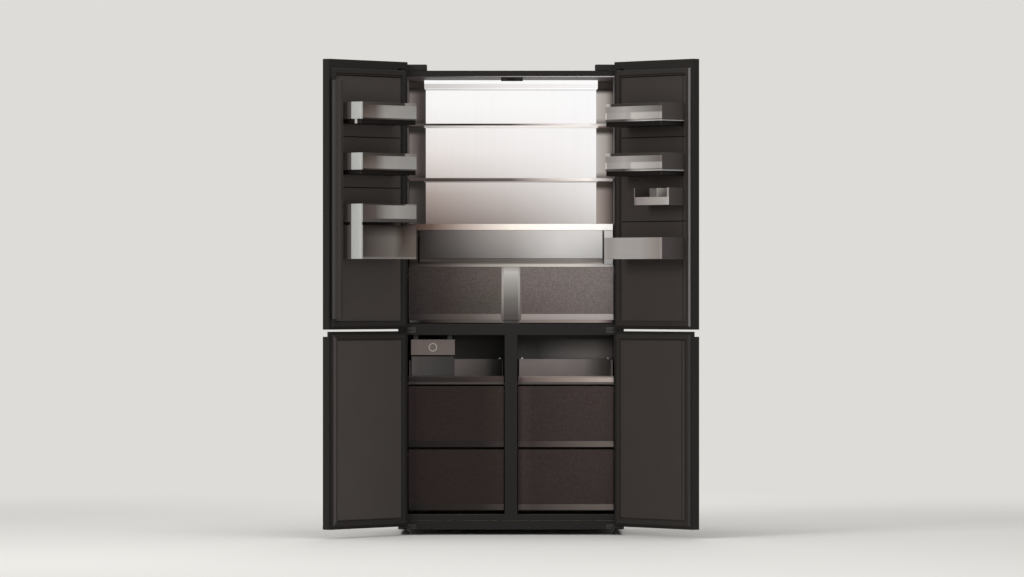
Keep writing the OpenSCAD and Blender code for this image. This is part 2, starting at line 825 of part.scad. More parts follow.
// Drawer sizes. A rim stands rim_drop below the top of its front.
rim_drop = 16;
set_in = 11;
crisper_low = cover_z + crisper_lift;
low_top = step_z - low_under;
tray_low = freezer_z1 - tray_drop;
up_top = tray_low - tray_gap;
crisper_d = duct_y - light_t - shelf_front - 16;
pair_d = duct_y - pair_front - 21;
freezer_d = duct_y - freezer_front - 30;
low_drawer_d = low_d - freezer_front - 16;
pair_x0 = -in_w + side_gap + 1;
pair_x1 = -column_w - side_gap + 1;
pair_z0 = fridge_z0 + pair_lift;
pair_z1 = cover_z - cover_bar_h - 1;
pair_rim_z = pair_z1 - rim_drop - 14;
low_z0 = freezer_z0 + low_lift;
low_rim_z = low_top - rim_drop;
up_z0 = low_top + 10;
up_rim_z = up_top - rim_drop;
ice_x0 = -in_w + 15;
freezer_x0 = -in_w + side_gap + 1;
freezer_x1 = -half_m - side_gap + 1;
tray_floor_z = tray_low + 7;
crisper_top = crisper_z - crisper_bar_h - 1;
crisper_rim_z = crisper_top - rim_drop;

// Hollow cheeks beside the crisper, open at the back, with a ledge for its rims.
cheek_x = crisper_w + 6;
module crisper_frame() {
    cheek_y = shelf_front + 4;
    cheek_back = duct_y - light_t - 2;
    color("#55504C") placed() both_sides() {
        difference() {
            union() {
                slab(-shelf_w, -cheek_x, cheek_y, cheek_back, cover_z, crisper_top);
                slab(-shelf_w, -cheek_x, shelf_front + 2 * trim_d + 1, cheek_back,
                    cover_z, crisper_z - glass_t);
            }
            slab(-shelf_w + tub_t, -cheek_x - tub_t, cheek_y + tub_t, cheek_back + past,
                cover_z + tub_t, crisper_top - tub_t);
        }
        slab(-cheek_x - 1, -cheek_x + ledge_w, cheek_y + trim_d, duct_y - 20,
            crisper_rim_z - slide_gap - ledge_h, crisper_rim_z - slide_gap);
    }
}

// A box between the cheeks with a flat facing.
module crisper_drawer() {
    color("#8E8A86") placed() {
        drawer(-crisper_w, crisper_w, shelf_front, crisper_d,
            crisper_low, crisper_top, crisper_rim_z, set_in);
        slab(-crisper_w, crisper_w, shelf_front - trim_out, shelf_front, crisper_low + 16, crisper_top);
    }
}

// Hollow column between the lower pair, open at the back, with a ledge on each side.
module centre_column() {
    body_w = column_w - 4;
    color("#9A9793") placed() {
        slab(-column_w, column_w, pair_front, pair_front + 6, pair_z0, pair_z1);
        difference() {
            union() {
                slab(-body_w, body_w, pair_front + 6, duct_y, fridge_z0, pair_z1);
                slab(-body_w, body_w, pair_front + trim_d, duct_y, fridge_z0, cover_z - glass_t);
            }
            slab(-body_w + tub_t, body_w - tub_t, pair_front + trim_d + tub_t, duct_y + past,
                fridge_z0 + tub_t, cover_z - glass_t - tub_t);
        }
        both_sides() slab(-column_w - ledge_w + 3, -body_w + 1, pair_front + front_t + 4, duct_y - 20,
            pair_rim_z - slide_gap - ledge_h, pair_rim_z - slide_gap);
    }
}

module fridge_drawer() {
    drawer(pair_x0, pair_x1, pair_front, pair_d, pair_z0, pair_z1, pair_rim_z, set_in);
    drawer_trim(pair_x0, pair_x1, pair_front, pair_z0);
}

module drawer_left() {
    color("#2E2523") placed() fridge_drawer();
}

module drawer_right() {
    color("#463C3B") placed() on_side(RIGHT) fridge_drawer();
}

module upper_drawer() {
    drawer(freezer_x0, freezer_x1, freezer_front, freezer_d, up_z0, up_top, up_rim_z, set_in);
    drawer_trim(freezer_x0, freezer_x1, freezer_front, up_z0);
}

module lower_drawer() {
    drawer(freezer_x0, freezer_x1, freezer_front, low_drawer_d, low_z0, low_top, low_rim_z, set_in);
    drawer_trim(freezer_x0, freezer_x1, freezer_front, low_z0);
}

module freezer_drawer_upper_left() {
    color("#2B2121") placed() upper_drawer();
}

module freezer_drawer_upper_right() {
    color("#3A3230") placed() on_side(RIGHT) upper_drawer();
}

module freezer_drawer_lower_left() {
    color("#2B2121") placed() lower_drawer();
}

module freezer_drawer_lower_right() {
    color("#3A3230") placed() on_side(RIGHT) lower_drawer();
}

// A shallow pull-out tray with a low front and taller side walls.
module freezer_tray() {
    slab(freezer_x0, freezer_x1, freezer_front, freezer_front + front_t, tray_low, tray_low + tray_front_h);
    difference() {
        slab(freezer_x0 + 4, freezer_x1 - 4, freezer_front + front_t, freezer_front + freezer_d,
            tray_floor_z, tray_low + tray_h);
        slab(freezer_x0 + 4 + tub_t, freezer_x1 - 4 - tub_t,
            freezer_front - past, freezer_front + freezer_d - tub_t,
            tray_floor_z + tub_t, tray_low + tray_h + past);
    }
}

module tray_left() {
    color("#4A3F3C") placed() freezer_tray();
}

module tray_right() {
    color("#A8998E") placed() on_side(RIGHT) freezer_tray();
}

ice_z1 = freezer_z1 - ice_drop;
ice_z0 = ice_z1 - ice_h;
ice_y0 = freezer_front + 12;
module ice_maker() {
    color("#6E625D") placed() {
        difference() {
            slab(ice_x0, ice_x0 + ice_w, ice_y0, ice_y0 + ice_d, ice_z0, ice_z1);
            slab(ice_x0 + 4, ice_x0 + ice_w - 4, ice_y0 + 4, ice_y0 + ice_d - 4, ice_z0 - past, ice_z1 - 3);
        }
        for (x = [ice_x0 + 10, ice_x0 + ice_w - 30]) {
            slab(x, x + 20, ice_y0 + 10, ice_y0 + ice_d - 10, ice_z1, freezer_z1);
        }
        difference() {
            slab(ice_x0 + 4, ice_x0 + ice_w - 4, ice_y0 + 10, ice_y0 + ice_d - 10, ice_z0 + 14, ice_z0 + 40);
            for (i = [0:6], j = [0:3]) {
                cup = [(ice_w - 24) / 4, (ice_d - 36) / 7];
                translate([ice_x0 + 12 + j * cup.x, ice_y0 + 18 + i * cup.y, ice_z0 + 18])
                    cube([cup.x - 3, cup.y - 3, 30]);
            }
        }
    }
}

module ice_bin() {
    color("#36373A") placed() difference() {
        slab(ice_x0 + 2, ice_x0 + 2 + ice_bin_w, ice_y0, ice_y0 + ice_d - 20,
            tray_floor_z + tub_t, ice_z0 - ice_gap);
        slab(ice_x0 + 2 + tub_t, ice_x0 + 2 + ice_bin_w - tub_t, ice_y0 + tub_t, ice_y0 + ice_d - 20 - tub_t,
            tray_floor_z + 2 * tub_t, ice_z0);
    }
}

// Finger grips: a pocket behind a lip along the bottom of the upper doors and the top of
// the lower ones, where the front is also cut down.
grip_x0 = door_x0 + hinge_in + arm_r + 18;
grip_x1 = door_x1 - grip_end;
grip_y = door_front + grip_d;
grip_z = lower_z1 - grip_open;
module upper_grip() {
    slab(grip_x0, grip_x1, door_front + grip_lip, grip_y, upper_z0 - past, upper_z0 + grip_deep);
}

module lower_grip() {
    slab(grip_x0, door_x1 + past, door_front - past, grip_y, grip_z, lower_z1 + past);
    slab(grip_x0, grip_x1, door_front + grip_lip, grip_y, grip_z - grip_deep, grip_z + past);
}

// Foam space of an upper door. It goes round the slot of the top hinge arm.
module upper_cavity() {
    difference() {
        union() {
            slab(door_x0 + skin, door_x1 - skin, door_front + skin, door_back + past,
                upper_z0 + skin, slot_z - cap_floor);
            slab(slot_x + skin, door_x1 - skin, door_front + skin, door_back + past,
                upper_z0 + skin, top_seal);
            slab(slot_x + skin, door_x1 - skin, door_front + skin, door_back - skin,
                upper_z0 + skin, upper_z1 - skin);
            slab(door_x0 + skin, door_x1 - skin, door_front + skin, door_back - skin,
                slot_z + slot_h + skin, upper_z1 - skin);
        }
        slab(grip_x0 - skin, door_x1, door_front, grip_y + skin, upper_z0, upper_z0 + grip_deep + skin);
    }
}

module lower_cavity() {
    difference() {
        slab(door_x0 + skin, door_x1 - skin, door_front + skin, door_back + past,
            lower_z0 + skin, lower_z1 - skin);
        slab(grip_x0 - skin, door_x1, door_front, grip_y + skin, grip_z - grip_deep - skin, lower_z1);
    }
}

module bush_space(z0, z1, r) {
    at_hinge() translate([0, 0, z0]) cylinder(r = r, h = z1 - z0);
}

module bush(z0) {
    difference() {
        bush_space(z0, z0 + bush_l, bush_r);
        bush_space(z0 - past, z0 + bush_l + past, pin_r + pin_gap);
    }
}

module upper_casing() {
    difference() {
        slab(door_x0, door_x1, door_front, door_back, upper_z0, upper_z1);
        upper_cavity();
        upper_grip();
        slab(door_x0 - past, slot_x, hinge_y - arm_r - 2, door_back + past, slot_z, slot_z + slot_h);
        bush_space(slot_z - bush_l, slot_z + past, bush_r);
        bush_space(upper_z0 - past, upper_z0 + bush_l, bush_r);
    }
    bush(slot_z - bush_l);
    bush(upper_z0);
}

module lower_casing() {
    difference() {
        slab(door_x0, door_x1, door_front, door_back, lower_z0, lower_z1);
        lower_grip();
        lower_cavity();
        bush_space(lower_z1 - bush_l, lower_z1 + past, bush_r);
        bush_space(lower_z0 - past, lower_z0 + bush_l, bush_r);
    }
    bush(lower_z1 - bush_l);
    bush(lower_z0);
}

module upper_foam() {
    difference() {
        upper_cavity();
        slab(door_x0, door_x1, door_back - panel_t, door_back + 2 * past, upper_z0, top_seal);
        slab(door_x0, door_x1, door_back - skin, door_back + 2 * past, upper_z0, upper_z1);
        bush_space(slot_z - bush_l, slot_z + past, bush_r);
        bush_space(upper_z0 - past, upper_z0 + bush_l, bush_r);
    }
}

module lower_foam() {
    difference() {
        lower_cavity();
        slab(door_x0, door_x1, door_back - panel_t, door_back + 2 * past, lower_z0, lower_z1);
        bush_space(lower_z1 - bush_l, lower_z1 + past, bush_r);
        bush_space(lower_z0 - past, lower_z0 + bush_l, bush_r);
    }
    slab(field_x0 + panel_t, field_x1 - panel_t, door_back - panel_t, door_back + field_t - panel_t,
        field_z0 + panel_t, field_z1 - panel_t);
}

// The inner panel of an upper door, with pressed grooves at the given heights.
groove_h = 4;
groove_drop = 70; // below a left guard band
small_groove = 66; // below the small bin
module upper_panel(grooves) {
    difference() {
        union() {
            slab(door_x0 + skin, door_x1 - skin, door_back - panel_t, door_back,
                upper_z0 + skin, slot_z - cap_floor);
            slab(slot_x + skin, door_x1 - skin, door_back - panel_t, door_back, upper_z0 + skin, top_seal);
        }
        for (z = grooves) {
            slab(gas_x0 + gasket_w + 4, gas_x1 - gasket_w - 4, door_back - 1.5, door_back + past,
                z, z + groove_h);
        }
    }
}

// Raised field inside the gasket of a lower door.
field_gap = 3;
field_x0 = gas_x0 + gasket_w + field_gap;
field_x1 = gas_x1 - gasket_w - field_gap;
field_z0 = lower_z0 + gasket_end + gasket_w + field_gap;
field_z1 = lower_z1 - gasket_end - gasket_w - field_gap;
module lower_panel() {
    difference() {
        union() {
            slab(door_x0 + skin, door_x1 - skin, door_back - panel_t, door_back,
                lower_z0 + skin, lower_z1 - skin);
            slab(field_x0, field_x1, door_back - panel_t, door_back + field_t, field_z0, field_z1);
        }
        slab(field_x0 + panel_t, field_x1 - panel_t,
            door_back - panel_t - past, door_back + field_t - panel_t,
            field_z0 + panel_t, field_z1 - panel_t);
    }
}

// Arms on the left inner panel that carry the pivots of the flip bar.
module flip_bracket(z) {
    difference() {
        union() {
            slab(gas_x1 - gasket_w - 16, gas_x1 - gasket_w - 2, door_back, flip_y + 6, z, z + bracket_t);
            slab(gas_x1 - gasket_w - 3, -flip_in, flip_y0 + 1, flip_y + 6, z, z + bracket_t);
        }
        translate([flip_x, flip_y, z - past]) cylinder(r = flip_pin_r + pin_gap, h = bracket_t + 2 * past);
    }
}

// The bar, rounded about its pivot so that it turns clear of the gasket.
module flip_bar() {
    translate([0, 0, flip_z0 + slide_gap]) linear_extrude(flip_z1 - flip_z0 - 2 * slide_gap) {
        translate([flip_x, flip_y]) circle(flip_t / 2);
        translate([-flip_in - flip_t, flip_y]) square([flip_t, flip_y0 + flip_w - flip_y]);
    }
    translate([flip_x, flip_y, flip_z0 - bracket_t + 1])
        cylinder(r = flip_pin_r, h = flip_z1 - flip_z0 + 2 * bracket_t - 2);
}

// A gasket: a wide base and a narrower magnetic strip on top.
module gasket(z0, z1) {
    base = gasket_t - 2.7;
    rim = 3;
    for (step = [[0, door_back, door_back + base], [rim, door_back + base, -seal_gap]]) {
        difference() {
            slab(gas_x0 + step[0], gas_x1 - step[0], step[1], step[2], z0 + step[0], z1 - step[0]);
            slab(gas_x0 + gasket_w - step[0], gas_x1 - gasket_w + step[0], step[1] - past, step[2] + past,
                z0 + gasket_w - step[0], z1 - gasket_w + step[0]);
        }
    }
}

module upper_gasket() {
    gasket(upper_z0 + gasket_end, top_seal);
}

module lower_gasket() {
    gasket(lower_z0 + gasket_end, lower_z1 - gasket_end);
}

// A shallow door bin: a guard band over a lower skirt that is set in.
module door_bin(z, guard_h) {
    difference() {
        union() {
            rounded_block(bin_x0, bin_x1, door_back, bin_y1, z, z + guard_h, bin_r);
            rounded_block(bin_x0 + skirt_in, bin_x1 - skirt_in, door_back, bin_y1 - skirt_in,
                z - bin_skirt, z + past, bin_r - skirt_in);
        }
        rounded_block(bin_x0 + skirt_in + bin_wall, bin_x1 - skirt_in - bin_wall,
            door_back + bin_wall, bin_y1 - skirt_in - bin_wall,
            z - bin_skirt + bin_wall, z + guard_h + past, bin_r - skirt_in - bin_wall);
    }
}

module bins_left() {
    color("#A8AAA8") on_door(LEFT) {
        door_bin(bin_top_l, guard_l);
        door_bin(bin_mid_l, guard_l);
    }
}

module bins_right() {
    color("#A8AAA8") on_door(RIGHT) {
        door_bin(bin_top_r, guard_r);
        door_bin(bin_mid_r, guard_r);
    }
}

// A deep box with a tray over it, joined by a cheek at their free end.
module two_tier_box() {
    color("#9A908A") on_door(LEFT) {
        round_tub(bin_x0, bin_x1, door_back, bin_y1, bin_low_z, bin_low_z + low_box_h, bin_wall, bin_r);
        round_tub(bin_x0, bin_x1, door_back, bin_y1, up_tray_z, up_tray_z + up_tray_h, bin_wall, bin_r);
        intersection() {
            round_tub(bin_x0, bin_x1, door_back, bin_y1, bin_low_z, up_tray_z + up_tray_h, bin_wall, bin_r);
            slab(bin_x1 - bin_r, bin_x1, bin_y1 - tier_cheek, bin_y1, bin_low_z, up_tray_z + up_tray_h);
        }
    }
}

// A small bin that is open above a low guard in front.
module small_bin() {
    small_x0 = bin_x1 - small_w;
    small_y1 = door_back + small_d;
    color("#A39A94") on_door(RIGHT) difference() {
        round_tub(small_x0, bin_x1, door_back, small_y1, small_z, small_z + small_h, bin_wall, bin_r);
        slab(small_x0 + bin_r, bin_x1 - bin_r, small_y1 - bin_wall - past, small_y1 + past,
            small_z + small_guard, small_z + small_h + past);
    }
}

module low_bin() {
    color("#A8AAA8") on_door(RIGHT)
        round_tub(bin_x0 - low_bin_more, bin_x1, door_back, bin_y1, bin_low_z, bin_low_z + low_bin_h,
            bin_wall, bin_r);
}

module door_ul_casing() { color("#23231F") on_door(LEFT) upper_casing(); }
module door_ul_foam() { color("#E7D9A8") on_door(LEFT) upper_foam(); }
module door_ul_liner() {
    color("#3F3C37") on_door(LEFT) {
        upper_panel([bin_top_l - groove_drop, bin_mid_l - groove_drop]);
        flip_bracket(flip_z0 - bracket_t);
        flip_bracket(flip_z1);
    }
}
module door_ul_gasket() { color("#32302E") on_door(LEFT) upper_gasket(); }
module door_ur_casing() { color("#23231F") on_door(RIGHT) upper_casing(); }
module door_ur_foam() { color("#E7D9A8") on_door(RIGHT) upper_foam(); }
module door_ur_liner() {
    color("#3A3633") on_door(RIGHT) upper_panel([bin_top_l - groove_drop, small_z - small_groove]);
}
module door_ur_gasket() { color("#32302E") on_door(RIGHT) upper_gasket(); }
module door_ll_casing() { color("#23231F") on_door(LEFT) lower_casing(); }
module door_ll_foam() { color("#E7D9A8") on_door(LEFT) lower_foam(); }
module door_ll_liner() { color("#3F3C37") on_door(LEFT) lower_panel(); }
module door_ll_gasket() { color("#32302E") on_door(LEFT) lower_gasket(); }
module door_lr_casing() { color("#23231F") on_door(RIGHT) lower_casing(); }
module door_lr_foam() { color("#E7D9A8") on_door(RIGHT) lower_foam(); }
module door_lr_liner() { color("#3A3633") on_door(RIGHT) lower_panel(); }
module door_lr_gasket() { color("#32302E") on_door(RIGHT) lower_gasket(); }
module flip_mullion() { color("#1C1D20") on_door(LEFT) flip_bar(); }

cabinet_shell();
rear_panel();
cabinet_foam();
fridge_liner();
freezer_liners();
face_frame();
feet();
top_hinges();
lower_hinges();
hinge_covers();
rear_cover();
compressor();
condenser();
condenser_fan();
drip_tray();
control_box();
cord_gland();
evaporators();
fridge_fan();
freezer_fan();
freezer_back_covers();
duct_panel();
light_panels();
shelf_glass();
shelf_trims();
crisper_frame();
centre_column();
crisper_drawer();
drawer_left();
drawer_right();
ice_maker();
ice_bin();
tray_left();
tray_right();
freezer_drawer_upper_left();
freezer_drawer_upper_right();
freezer_drawer_lower_left();
freezer_drawer_lower_right();
door_ul_casing();
door_ul_foam();
door_ul_liner();
door_ul_gasket();
door_ur_casing();
door_ur_foam();
door_ur_liner();
door_ur_gasket();
door_ll_casing();
door_ll_foam();
door_ll_liner();
door_ll_gasket();
door_lr_casing();
door_lr_foam();
door_lr_liner();
door_lr_gasket();
flip_mullion();
bins_left();
two_tier_box();
bins_right();
small_bin();
low_bin();
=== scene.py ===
"""Refrigerator with its four doors open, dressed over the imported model. Metres, in the model's own frame."""

import math

import bmesh
import bpy
from mathutils import Matrix, Vector


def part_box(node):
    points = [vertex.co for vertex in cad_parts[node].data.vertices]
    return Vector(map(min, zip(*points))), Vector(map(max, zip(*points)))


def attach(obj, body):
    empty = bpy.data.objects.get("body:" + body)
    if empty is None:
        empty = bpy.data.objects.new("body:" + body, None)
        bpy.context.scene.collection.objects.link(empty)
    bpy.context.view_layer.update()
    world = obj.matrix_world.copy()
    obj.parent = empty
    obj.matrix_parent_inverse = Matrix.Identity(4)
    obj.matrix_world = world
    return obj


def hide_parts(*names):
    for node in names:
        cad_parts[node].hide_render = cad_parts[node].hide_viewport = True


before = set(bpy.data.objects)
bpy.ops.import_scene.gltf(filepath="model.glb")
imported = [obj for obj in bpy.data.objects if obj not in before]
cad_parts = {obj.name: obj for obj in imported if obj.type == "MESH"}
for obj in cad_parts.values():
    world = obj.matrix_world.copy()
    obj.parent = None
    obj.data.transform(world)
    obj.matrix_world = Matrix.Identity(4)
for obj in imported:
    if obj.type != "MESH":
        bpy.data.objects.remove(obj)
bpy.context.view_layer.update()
scene = bpy.context.scene


# Camera
# A long lens, level, far in front of the cabinet, so that verticals stay upright.
CAMERA_AT = (0.004, -22.087, 0.991)
camera = bpy.data.objects.new("camera", bpy.data.cameras.new("camera"))
camera.data.lens = 192.4
camera.data.sensor_width = 36.0
camera.data.clip_end = 200.0
camera.location = CAMERA_AT
camera.rotation_euler = (math.radians(90), 0, 0)
scene.collection.objects.link(camera)
scene.camera = camera
scene.view_settings.view_transform = "Standard"


# Floor and studio light
# A matt pale studio floor that fades into a background of the same paleness, a large soft
# lamp from the front left, weaker ones from the right and low in front, a wide one overhead.
PALE = "#DEDCD8"
FLOOR_HALF = 60.0
FADE_FROM, FADE_TO = 2.2, 5.0


def ink(colour, alpha=1.0):
    """An sRGB hex colour as linear RGBA."""
    parts = [int(colour[i:i + 2], 16) / 255 for i in (1, 3, 5)]
    return [p / 12.92 if p <= 0.04045 else ((p + 0.055) / 1.055) ** 2.4 for p in parts] + [alpha]


def add(tree, kind, settings=None, inputs=None):
    """Adds one node. An input given as a socket is linked, and any other value is set on it."""
    made = tree.nodes.new(kind)
    for name, value in (settings or {}).items():
        setattr(made, name, value)
    for name, value in (inputs or {}).items():
        if isinstance(value, bpy.types.NodeSocket):
            tree.links.new(value, made.inputs[name])
        else:
            made.inputs[name].default_value = value
    return made


def calc(tree, operation, one, other):
    """The result of one operation on two values."""
    return add(tree, "ShaderNodeMath", {"operation": operation}, {0: one, 1: other}).outputs[0]


def spot(tree):
    """The place on the piece."""
    return add(tree, "ShaderNodeTexCoord").outputs["Object"]


def seen_directly(tree):
    """1 for rays from the eye, in a mirror and through glass, and 0 for those that carry light."""
    path = add(tree, "ShaderNodeLightPath")
    eye_or_mirror = calc(tree, "MAXIMUM", path.outputs["Is Camera Ray"], path.outputs["Is Glossy Ray"])
    return calc(tree, "MAXIMUM", eye_or_mirror, path.outputs["Is Transmission Ray"])


def new_material(name):
    """A material with its node tree and its surface node."""
    mat = bpy.data.materials.new(name)
    mat.use_nodes = True
    return mat, mat.node_tree, mat.node_tree.nodes["Principled BSDF"]


world = bpy.data.worlds.new("studio")
scene.world = world
world.use_nodes = True
tree = world.node_tree
tree.nodes.clear()
fill = add(tree, "ShaderNodeBackground", None, {"Color": (1, 1, 1, 1), "Strength": 0.42})
shown = add(tree, "ShaderNodeBackground", None, {"Color": ink(PALE), "Strength": 1.0})
mixed = add(tree, "ShaderNodeMixShader", None,
            {0: seen_directly(tree), 1: fill.outputs[0], 2: shown.outputs[0]})
add(tree, "ShaderNodeOutputWorld", None, {"Surface": mixed.outputs[0]})

floor_mat, tree, _ = new_material("matt_studio_floor")
tree.nodes.clear()
away = add(tree, "ShaderNodeVectorMath", {"operation": "LENGTH"}, {0: spot(tree)})
fade = add(tree, "ShaderNodeMapRange", {"interpolation_type": "SMOOTHSTEP"},
           {"Value": away.outputs["Value"], "From Min": FADE_FROM, "From Max": FADE_TO})
matt = add(tree, "ShaderNodeBsdfDiffuse", None, {"Color": ink("#D6D4D0")})
glow = add(tree, "ShaderNodeEmission", None, {"Color": ink(PALE), "Strength": 1.0})
far = calc(tree, "MULTIPLY", fade.outputs[0], seen_directly(tree))
mixed = add(tree, "ShaderNodeMixShader", None, {0: far, 1: matt.outputs[0], 2: glow.outputs[0]})
add(tree, "ShaderNodeOutputMaterial", None, {"Surface": mixed.outputs[0]})

floor_mesh = bpy.data.meshes.new("floor")
floor_mesh.from_pydata([(x, y, 0) for x, y in ((-1, -1), (1, -1), (1, 1), (-1, 1))], [], [(0, 1, 2, 3)])
floor_mesh.transform(Matrix.Scale(FLOOR_HALF, 4))
floor_mesh.materials.append(floor_mat)
floor = bpy.data.objects.new("floor", floor_mesh)
scene.collection.objects.link(floor)

for name, at, aim, size, watts in (
        ("lamp_left", (-4.6, -5.2, 3.6), (0, 0, 0.9), 3.0, 270.0),
        ("lamp_right", (4.8, -5.0, 2.6), (0, 0, 0.9), 3.0, 45.0),
        ("lamp_low", (1.2, -5.6, 0.7), (0, 0, 0.7), 3.0, 90.0),
        ("lamp_top", (0.0, -0.6, 5.4), (0, 0, 0.5), 3.6, 110.0),
        ("lamp_back", (0.5, 5.5, 3.4), (0, 0, 1.0), 3.0, 120.0)):
    data = bpy.data.lights.new(name, "AREA")
    data.energy, data.size = watts, size
    lamp = bpy.data.objects.new(name, data)
    lamp.location = at
    lamp.rotation_euler = (Vector(at) - Vector(aim)).to_track_quat("Z", "Y").to_euler()
    lamp.visible_camera = False
    scene.collection.objects.link(lamp)


# Outer cabinet
# Top, sides, base and machine room walls are folded from 1 mm steel sheet, coated dark
# brown-grey with a satin powder coat. Its folds are a little rounded.
FRONT_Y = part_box("cabinet_shell")[1].y - 0.575      # the cabinet's front face in this frame


def at(x, y, z):
    """Millimetres from the middle of the cabinet's front, at the floor, to this frame."""
    return Vector((x / 1000, FRONT_Y + y / 1000, z / 1000))


HOME = Matrix.Translation(at(0, 0, 0))      # puts what is drawn from the cabinet's front in this frame


def remap(tree, value, low, high, new_low=0.0, new_high=1.0):
    """Takes a value from one range to another and holds it at the ends."""
    return add(tree, "ShaderNodeMapRange", None, {"Value": value, "From Min": low, "From Max": high,
                                                  "To Min": new_low, "To Max": new_high}).outputs[0]


def noise(tree, vector, scale, detail=2.0):
    """Soft noise over a place."""
    return add(tree, "ShaderNodeTexNoise", None,
               {"Vector": vector, "Scale": scale, "Detail": detail}).outputs["Fac"]


def drawn_out(tree, stretch):
    """The place on the piece, scaled along each axis."""
    return add(tree, "ShaderNodeMapping", None, {"Vector": spot(tree), "Scale": stretch}).outputs[0]


def new_finish(name, colour, rough, patch=60.0, grain=1.6, relief=0.03, stretch=(1, 1, 1), shade=0.07,
               rough_swing=0.06, shine=0.5, **sockets):
    """A surface whose colour drifts slightly from patch to patch and whose grain shows in roughness
    and in relief, all three in mm. stretch below 1 draws them out along that axis."""
    mat, tree, skin = new_material(name)
    skin.inputs["Specular IOR Level"].default_value = shine
    for socket, value in sockets.items():
        skin.inputs[socket].default_value = value
    drawn = drawn_out(tree, stretch)
    specks = noise(tree, drawn, 1000 / grain)
    base = ink(colour)
    tone = add(tree, "ShaderNodeMix", {"data_type": "RGBA"},
               {0: noise(tree, drawn, 1000 / patch, 3.0),
                6: [c * (1 - shade) for c in base[:3]] + [1], 7: [c * (1 + shade) for c in base[:3]] + [1]})
    dull = remap(tree, specks, 0.3, 0.7, rough - rough_swing, rough + rough_swing)
    bump = add(tree, "ShaderNodeBump", None, {"Height": specks, "Strength": 0.5, "Distance": relief / 1000})
    tree.links.new(tone.outputs[2], skin.inputs["Base Color"])
    tree.links.new(dull, skin.inputs["Roughness"])
    tree.links.new(bump.outputs[0], skin.inputs["Normal"])
    return mat


def put_in_scene(name, mesh, body, mats, replaces=()):
    """Shows a mesh as one piece that rides on a body, and hides the nodes it stands for."""
    for mat in mats:
        mesh.materials.append(mat)
    piece = bpy.data.objects.new(name, mesh)
    scene.collection.objects.link(piece)
    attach(piece, body)
    if replaces:
        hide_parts(*replaces)
    return piece


def soften(piece, edge_mm, steps=2):
    """Rounds the edges of a piece by a bevel and shades it smooth across them."""
    for poly in piece.data.polygons:
        poly.use_smooth = True
    bevel = piece.modifiers.new("rounded_edges", "BEVEL")
    bevel.width = edge_mm / 1000
    bevel.segments = steps
    bevel.limit_method = "ANGLE"
    bevel.angle_limit = math.radians(32)
    bevel.use_clamp_overlap = False
    level = piece.modifiers.new("flat_faces_stay_flat", "WEIGHTED_NORMAL")
    level.weight = 100
    return piece


def dress(node, body, mats, edge_mm=0.6, steps=2, pick=None, place=HOME, cuts=()):
    """Stands for a node with a merged copy of its mesh whose edges are rounded.
    pick gives the number of the finish for a face from its middle in mm and its normal, both
    as seen from place. cuts are planes, as a point in mm and a normal, that part two finishes."""
    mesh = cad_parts[node].data.copy()
    mesh.materials.clear()
    home = place.inverted()
    shape = bmesh.new()
    shape.from_mesh(mesh)
    bmesh.ops.remove_doubles(shape, verts=shape.verts, dist=0.000004)
    bmesh.ops.dissolve_limit(shape, angle_limit=math.radians(0.4), verts=shape.verts, edges=shape.edges)
    for point, normal in cuts:
        bmesh.ops.bisect_plane(shape, geom=shape.verts[:] + shape.edges[:] + shape.faces[:], dist=0.000001,
                               plane_co=place @ (Vector(point) / 1000),
                               plane_no=place.to_3x3() @ Vector(normal))
    for face in shape.faces:
        face.material_index = 0
        if pick:
            face.material_index = pick(home @ face.calc_center_median() * 1000, home.to_3x3() @ face.normal)
    shape.to_mesh(mesh)
    shape.free()
    mesh.name = node + "_dressed"
    return soften(put_in_scene(node + "_dressed", mesh, body, mats, [node]), edge_mm, steps)


# Satin powder coat: a dielectric over steel, slightly uneven, with an orange-peel grain of
# about 2 mm.
powder_coat = new_finish("satin_dark_powder_coat", "#23211F", 0.42, patch=220, grain=2.2,
                         relief=0.02, shine=0.2)
dress("cabinet_shell", "cabinet", [powder_coat], 0.4)


# Back of the cabinet
# Zinc-coated sheet, painted grey, screwed over the foam, and the slotted cover of the
# machine compartment under it. The coating shows a faint spangle of about 15 mm.
coated_sheet = new_finish("grey_coated_zinc_sheet", "#4F504F", 0.46, patch=15, grain=3.0,
                          relief=0.015, shade=0.1, Metallic=0.35)
dress("rear_panel", "cabinet", [coated_sheet], 0.3)
dress("rear_cover", "cabinet", [coated_sheet], 0.4)
dress("drip_tray", "cabinet", [coated_sheet], 0.8)


def new_tree(name, *sizes):
    """A geometry node tree with the named sizes and a finish. Returns it and its two end nodes."""
    tree = bpy.data.node_groups.new(name, "GeometryNodeTree")
    for end in ("OUTPUT", "INPUT"):
        tree.interface.new_socket(name="Geometry", in_out=end, socket_type="NodeSocketGeometry")
    for size in sizes:
        tree.interface.new_socket(name=size, in_out="INPUT", socket_type="NodeSocketFloat")
    tree.interface.new_socket(name="Finish", in_out="INPUT", socket_type="NodeSocketMaterial")
    return tree, add(tree, "NodeGroupInput"), add(tree, "NodeGroupOutput")


def close_tree(tree, given, out, geometry):
    """Ends a tree in real, smooth geometry with its finish."""
    real = add(tree, "GeometryNodeRealizeInstances", None, {"Geometry": geometry})
    done = add(tree, "GeometryNodeSetMaterial", None,
               {"Geometry": real.outputs[0], "Material": given.outputs["Finish"]})
    tree.links.new(done.outputs[0], out.inputs["Geometry"])


def set_facing(tree, given, piece):
    """Puts a piece on every point of a tree, with its Z along the point's facing."""
    facing = add(tree, "GeometryNodeInputNamedAttribute", {"data_type": "FLOAT_VECTOR"}, {"Name": "facing"})
    turned = add(tree, "FunctionNodeAlignRotationToVector", {"axis": "Z"}, {"Vector": facing.outputs[0]})
    return add(tree, "GeometryNodeInstanceOnPoints", None,
               {"Points": given.outputs["Geometry"], "Instance": piece,
                "Rotation": turned.outputs[0]}).outputs[0]


